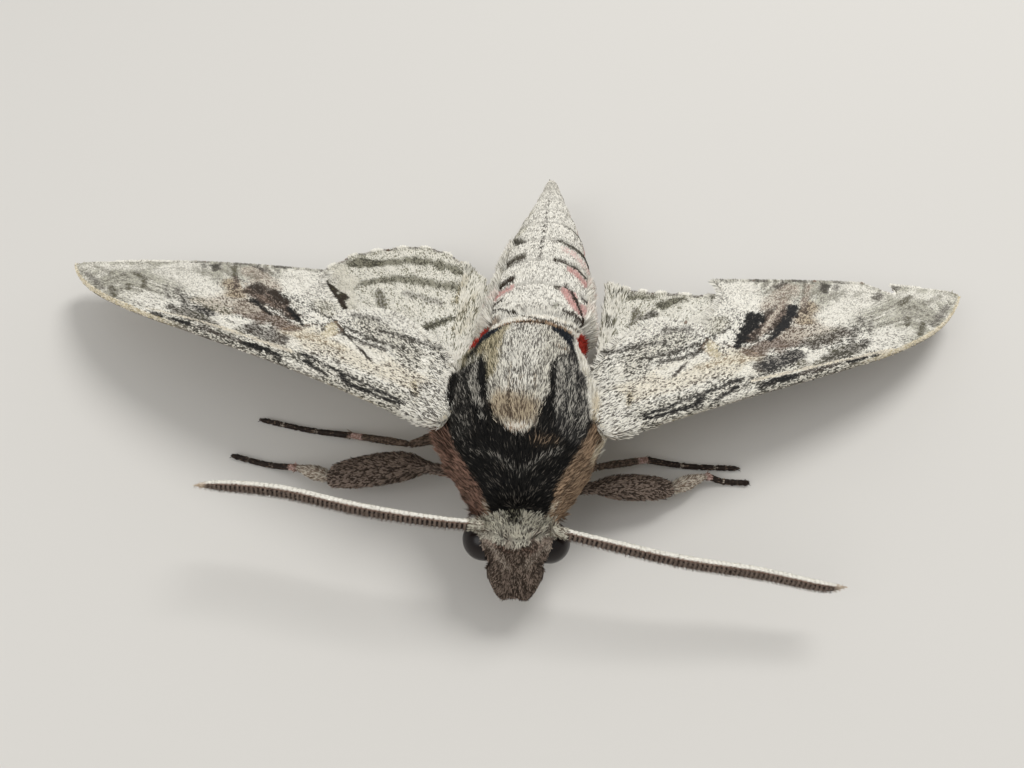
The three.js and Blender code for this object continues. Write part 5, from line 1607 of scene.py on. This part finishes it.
# Points along each leg: hip, bend of the thigh, knee, ankle and toe.
LEGS = {
    "fore": {
        "right": [[-5.2, -3.0, 4.6], [-9.0, -2.1, 4.0], [-16.6, -2.3, 2.1], [-19.8, -0.9, 1.1],
                  [-26.2, 0.6, FOOT]],
        "left": [[4.2, -4.0, 4.4], [7.6, -3.2, 3.8], [13.4, -2.0, 2.2], [16.9, 0.2, 1.1],
                 [20.9, 0.2, FOOT]],
    },
    "mid": {
        "right": [[-4.6, 2.2, 4.2], [-7.2, 1.0, 4.2], [-9.6, 0.6, 3.4], [-15.5, 3.0, 0.9],
                  [-24.6, 4.8, FOOT]],
        "left": [[4.8, -1.2, 5.3], [5.6, -1.8, 5.0], [6.6, -1.6, 4.4], [11.6, 1.7, 1.0],
                 [20.2, 1.7, FOOT]],
    },
    "hind": {
        "right": [[-3.2, 4.6, 3.6], [-5.4, 6.2, 3.2], [-8.2, 9.6, 2.6], [-10.2, 13.2, 0.9],
                  [-11.6, 17.0, FOOT]],
        "left": [[3.4, 4.6, 3.6], [5.6, 6.2, 3.2], [8.2, 9.4, 2.6], [9.8, 12.6, 0.9],
                 [10.8, 16.0, FOOT]],
    },
}
BRUSH = {"right": 1.7, "left": 1.35}        # half width of the front thigh with its brush of hair
THIGH = {"mid": 0.62, "hind": 0.8}
SHIN = {"fore": 0.78, "mid": 0.42, "hind": 0.6}
# How far the skin of thigh, shin and foot lies inside the outside of their coat.
COAT_ON_THIGH = {"fore": 0.34, "mid": 0.16, "hind": 0.2}
COAT_ON_SHIN = {"fore": 0.24, "mid": 0.12, "hind": 0.18}
COAT_ON_FOOT = 0.06
SPUR_PLACES = {"fore": [], "mid": [1.97], "hind": [1.6, 1.97]}      # places as in leg_line
SPIKE_COLUMNS = 8
# Length, width and lift of each pair's coat on the thigh and on the shin.
LEG_COATS = {"fore": ((0.44, 0.11, 24), (0.5, 0.09, 20)), "mid": ((0.34, 0.11, 14), (0.34, 0.09, 15)),
             "hind": ((0.45, 0.15, 16), (0.45, 0.11, 18))}
TOE_JOINTS = [0.42, 0.62, 0.77, 0.89]       # share of the foot's length where each of its segments ends
LEG_COLUMNS = 20


def leg_paint(pair, values):
    part = values["part"]
    paint = Paint(len(part), "mauve", "plum", 0.5)
    on_thigh = fade(part, 0.97, 1.02)
    on_shin = (1 - on_thigh) * fade(part, 1.99, 2.03)
    on_foot = smooth(part, 1.99, 2.03)
    net = cloud(15, values["at"] / 0.26, np.arctan2(values["turn_x"], values["turn_z"]) / 0.2) - 0.5
    paint.lay(on_thigh, "fur_brown" if pair == "mid" else "mauve", "umber", 0.45)
    paint.fleck(0.7 * net * on_thigh, 0.05, 0.9)
    paint.lay(on_thigh * fade(values["turn_z"], -0.7, -0.3), "rosy_fawn", "bark", 0.35)
    if pair == "fore":
        paint.lay(on_shin, "bone", "fur_brown", 0.5)
    else:
        paint.lay(on_shin, "fur_brown", "umber", 0.62)
        paint.fleck(0.5 * net * on_shin, 0.05, 0.95)
    paint.lay(on_foot, "fur_brown", "chocolate", 0.9)
    pink_from, pink_to = (1.92, 2.1) if pair == "fore" else (1.8, 2.0)
    paint.lay(smooth(part, pink_from - 0.03, pink_from) * fade(part, pink_to, pink_to + 0.02) * 0.8,
              "blush", "rosy_fawn", 0.55)
    for joint in (TOE_JOINTS[0], TOE_JOINTS[2]):
        paint.lay(on_foot * band(part - 2, joint, 0.006, 0.01) * 0.8, "bone", "mauve", 0.4)
    return paint


def leg_line(pair, side):
    """Middles along a leg, its half widths outside the coat, and each ring's place on it.

    The place counts 0 to 1 along the thigh, to 2 along the shin and to 3 along the foot.
    """
    hip, bend, knee, ankle, toe = (np.array(joint) for joint in LEGS[pair][side])
    sole = ankle + (toe - ankle) * 0.45
    sole[2] = FOOT
    t = np.linspace(0, 1, 60)
    on_foot = np.linspace(0, 1, 90)[1:]
    thigh = curve_through([hip, bend, knee], t)
    shin = knee + (ankle - knee) * t[1:, None]
    foot = curve_through([ankle, sole, toe], on_foot)
    middles = np.vstack([thigh, shin, foot])
    part = np.concatenate([t, 1 + t[1:], 2 + on_foot])
    if pair == "fore":
        thick = BRUSH[side]
        rows = [[0, 0.7, 0.7], [0.35, 0.8, 0.75], [0.6, thick, 1.15], [0.85, thick, 1.1],
                [1, 0.75 * thick, 0.7]]
    else:
        thick = THIGH[pair]
        rows = [[0, thick, thick], [0.5, 1.15 * thick, 1.1 * thick], [1, 0.7 * thick, 0.7 * thick]]
    shin_width = SHIN[pair]
    outside = np.vstack([
        along(rows, t),
        along([[0, 0.8 * shin_width, 0.8 * shin_width], [0.4, shin_width, shin_width], [1, 0.36, 0.36]],
              t[1:]),
        along([[0, 0.34, 0.34], [0.4, 0.3, 0.3], [1, 0.27, 0.3]], on_foot),
    ])
    for _ in range(6):
        middles[1:-1] = (middles[:-2] + 2 * middles[1:-1] + middles[2:]) / 4
    return middles, outside, part


def leg(pair, side, seed):
    middles, outside, part = leg_line(pair, side)
    depth = np.where(part <= 1, COAT_ON_THIGH[pair], COAT_ON_SHIN[pair])
    depth = np.where(part > 2, COAT_ON_FOOT, depth)
    inside = outside - depth[:, None]
    # waists at the knee and ankle, and a ring at each joint of the foot
    for joint, narrow, wide in ((1.0, 0.5, 0.07), (2.0, 0.62, 0.05)):
        inside *= np.minimum(1.0, narrow + np.abs(part - joint) / wide)[:, None]
    inside = np.maximum(inside, 0.13)
    for joint in TOE_JOINTS:
        inside *= 1 - 0.3 * np.exp(-((part - 2 - joint) / 0.012) ** 2)[:, None]
    rounded = np.exp(-np.arange(7)[::-1] / 2.0)
    inside[-7:] *= (1 - 0.8 * rounded)[:, None]
    tube = Tube(middles, inside[:, :1], inside[:, 1:], LEG_COLUMNS, floor=True)
    skin = tube.skin
    place = np.repeat(part, LEG_COLUMNS)
    skin.values["part"] = place
    name = f"{pair}_{side}"
    # the leg's skin is darkened as painted shade under its coat
    piece = quad_piece(f"{name}_leg_skin", skin.points, skin.quads, "leg_skin",
                       leg_paint(pair, skin.values).blended(0.8))
    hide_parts(f"{name}_femur", f"{name}_tibia", f"{name}_tarsus")
    pelt = tube_pelt(tube, lambda roots: leg_paint(pair, roots), "leg_scales", "leg_scales")
    thigh = place < 0.97
    on_foot = place > 2.0
    on_thigh, on_shin = LEG_COATS[pair]
    pelt.coat(f"{name}_thigh_scales", 0.125, seed, thigh, SCALE, *on_thigh, droop=0.04, stray=14.0,
              root_shade=0.25, sink=0.02)
    pelt.coat(f"{name}_shin_hair", 0.1, seed + 1, ~thigh & ~on_foot, HAIR, *on_shin, droop=0.06,
              root_shade=0.5, sink=0.02)
    off_ground = skin.points[:, 2] > 0.06
    pelt.coat(f"{name}_foot_scales", 0.1, seed + 2, on_foot & off_ground, SCALE, 0.24, 0.1, 9,
              slot="foot", droop=0.02, stray=9.0, root_shade=0.6, sink=0.01)
    claws_and_spurs(pair, side, tube, part)


def spike(start, direction, length, radius, bend):
    """Points and quads of a curved spike that tapers from start, bent towards bend."""
    t = np.linspace(0, 1, 7)[:, None]
    middles = start + unit(direction) * length * t + np.array(bend, float) * length * t * t
    radii = radius * (1 - 0.92 * t[:, 0] ** 1.4)[:, None] * np.ones((1, SPIKE_COLUMNS))
    skin = Tube(middles, radii, radii, SPIKE_COLUMNS).skin
    return skin.points, skin.quads


def spikes_piece(name, spikes, lowest, material):
    """One piece of several spikes, none of it lower than lowest."""
    points = np.vstack([points for points, _ in spikes])
    points[:, 2] = np.maximum(points[:, 2], lowest)
    starts = np.cumsum([0] + [len(points) for points, _ in spikes[:-1]])
    quads = np.vstack([quads + start for (_, quads), start in zip(spikes, starts)])
    quad_piece(name, points, quads, material)


def claws_and_spurs(pair, side, tube, part):
    name = f"{pair}_{side}"
    ahead = unit(tube.forward[-1] * [1, 1, 0])
    across = np.cross(ahead, UP)
    end = tube.middles[-1] - ahead * 0.12
    claws = [spike(end + across * 0.07 * way, ahead + across * 0.5 * way + UP * 0.1, 0.42, 0.055,
                   [0, 0, -0.42]) for way in (-1, 1)]
    spikes_piece(f"{name}_claws", claws, 0.0, "claw")
    spurs = []
    for place in SPUR_PLACES[pair]:
        ring = int(np.argmin(np.abs(part - place)))
        for way, length in ((-1, 1.0), (1, 1.5)):
            start = tube.middles[ring] + tube.across[ring] * 0.15 * way
            spurs.append(spike(start, tube.forward[ring] + 0.35 * way * tube.across[ring], length, 0.09,
                               [0, 0, 0.06]))
    if spurs:
        spikes_piece(f"{name}_spurs", spurs, 0.01, "spur")


# ---- eyes ----------------------------------------------------------------------------------------

def eye(side):
    rings, columns = 40, 64
    polar = np.linspace(0.001, math.pi - 0.001, rings)[:, None]
    around = np.linspace(0, 2 * math.pi, columns, endpoint=False)[None, :]
    ball = np.stack(np.broadcast_arrays(np.sin(polar) * np.cos(around), np.sin(polar) * np.sin(around),
                                        np.cos(polar)), axis=-1).reshape(-1, 3)
    middle = np.array([SIDES[side] * EYE["x"], EYE["y"], EYE["z"]])
    points = middle + ball * (EYE["radius"] - 0.02)
    piece = quad_piece(f"eye_{side}_ball", points, facing_out(points, ring_faces(rings, columns)),
                       "eye")
    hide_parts(f"eye_{side}")


# ---- the moth ------------------------------------------------------------------------------------

BODY = body_skin()
# the body's skin is darkened as painted shade under its coat
BODY_PIECE = quad_piece("body_skin", BODY.points, BODY.quads, "body_skin",
                        body_paint(BODY.points).blended(0.7))
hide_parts(*FLESH)
thorax_coat(BODY)
abdomen_coat(BODY)
head_coat(BODY)
for number, side_name in enumerate(SIDES):
    dress_wing(side_name, False, 100 + 10 * number)
    inner_margin_hair(side_name, dress_wing(side_name, True, 200 + 10 * number), 230 + number)
    antenna(side_name, 300 + 10 * number)
    eye(side_name)
    for index, pair_name in enumerate(LEGS):
        leg(pair_name, side_name, 400 + 40 * number + 10 * index)


# ---- floor, light and camera ---------------------------------------------------------------------

def placed(name, data, axes=None, place=(0.0, 0.0, 0.0)):
    """An object at a place in metres, its x, y and z turned to three axes."""
    holder = bpy.data.objects.new(name, data)
    bpy.context.scene.collection.objects.link(holder)
    if axes is not None:
        rows = [(*row, at) for row, at in zip(np.stack(axes, axis=1), place)]
        holder.matrix_world = Matrix(rows + [(0, 0, 0, 1)])
    return holder


FLOOR_SIZE = 3.0
FLOOR_TONE = "#d9d6d0"
floor_finish = bpy.data.materials.new("floor")
floor_finish.use_nodes = True
floor_shader = floor_finish.node_tree.nodes["Principled BSDF"].inputs
floor_shader["Base Color"].default_value = (*tone(FLOOR_TONE), 1)
floor_shader["Roughness"].default_value = 0.8
floor_shader["Specular IOR Level"].default_value = 0.2
floor_mesh = bpy.data.meshes.new("floor")
corners = [(x * FLOOR_SIZE, y * FLOOR_SIZE, 0) for x, y in ((-1, -1), (1, -1), (1, 1), (-1, 1))]
floor_mesh.from_pydata(corners, [], [(0, 1, 2, 3)])
floor_mesh.materials.append(floor_finish)
placed("floor", floor_mesh)

world = bpy.data.worlds.new("studio")
world.use_nodes = True
world.node_tree.nodes["Background"].inputs["Color"].default_value = (1.0, 1.0, 1.0, 1)
world.node_tree.nodes["Background"].inputs["Strength"].default_value = 0.5
bpy.context.scene.world = world

# Soft lamps: name, place in metres, size in metres and share of the whole light on a level surface.
LAMPS = [
    ("main_light", (0.15, 0.20, 0.42), 0.22, 0.42),
    ("fill_light", (-0.26, -0.30, 0.34), 0.35, 0.16),
]
for lamp_name, place, size, share in LAMPS:
    lamp = bpy.data.lights.new(lamp_name, "AREA")
    lamp.shape = "DISK"
    lamp.size = size
    away = float(np.linalg.norm(place))
    lamp.energy = math.pi ** 2 * share * away ** 2 * away / place[2]
    facing = np.array(place) / away
    side_on = unit(np.cross(UP, facing))
    placed(lamp_name, lamp, (side_on, np.cross(facing, side_on), facing), place)

CAMERA = {"place": (-0.00004, -0.05245, 0.06277), "azimuth": 0.42, "elevation": 50.74, "roll": 2.25,
          "lens": 28.63}
camera_data = bpy.data.cameras.new("camera")
camera_data.lens = CAMERA["lens"]
camera_data.sensor_width = 36
camera_data.clip_start = 0.001
camera_data.clip_end = 20
azimuth, elevation, roll = (math.radians(CAMERA[key]) for key in ("azimuth", "elevation", "roll"))
back = np.array([math.sin(azimuth) * math.cos(elevation), -math.cos(azimuth) * math.cos(elevation),
                 math.sin(elevation)])
level_right = np.array([math.cos(azimuth), math.sin(azimuth), 0.0])
level_up = np.cross(level_right, -back)
right = math.cos(roll) * level_right + math.sin(roll) * level_up
over = -math.sin(roll) * level_right + math.cos(roll) * level_up
bpy.context.scene.camera = placed("camera", camera_data, (right, over, back), CAMERA["place"])
bpy.context.scene.view_settings.view_transform = "Standard"
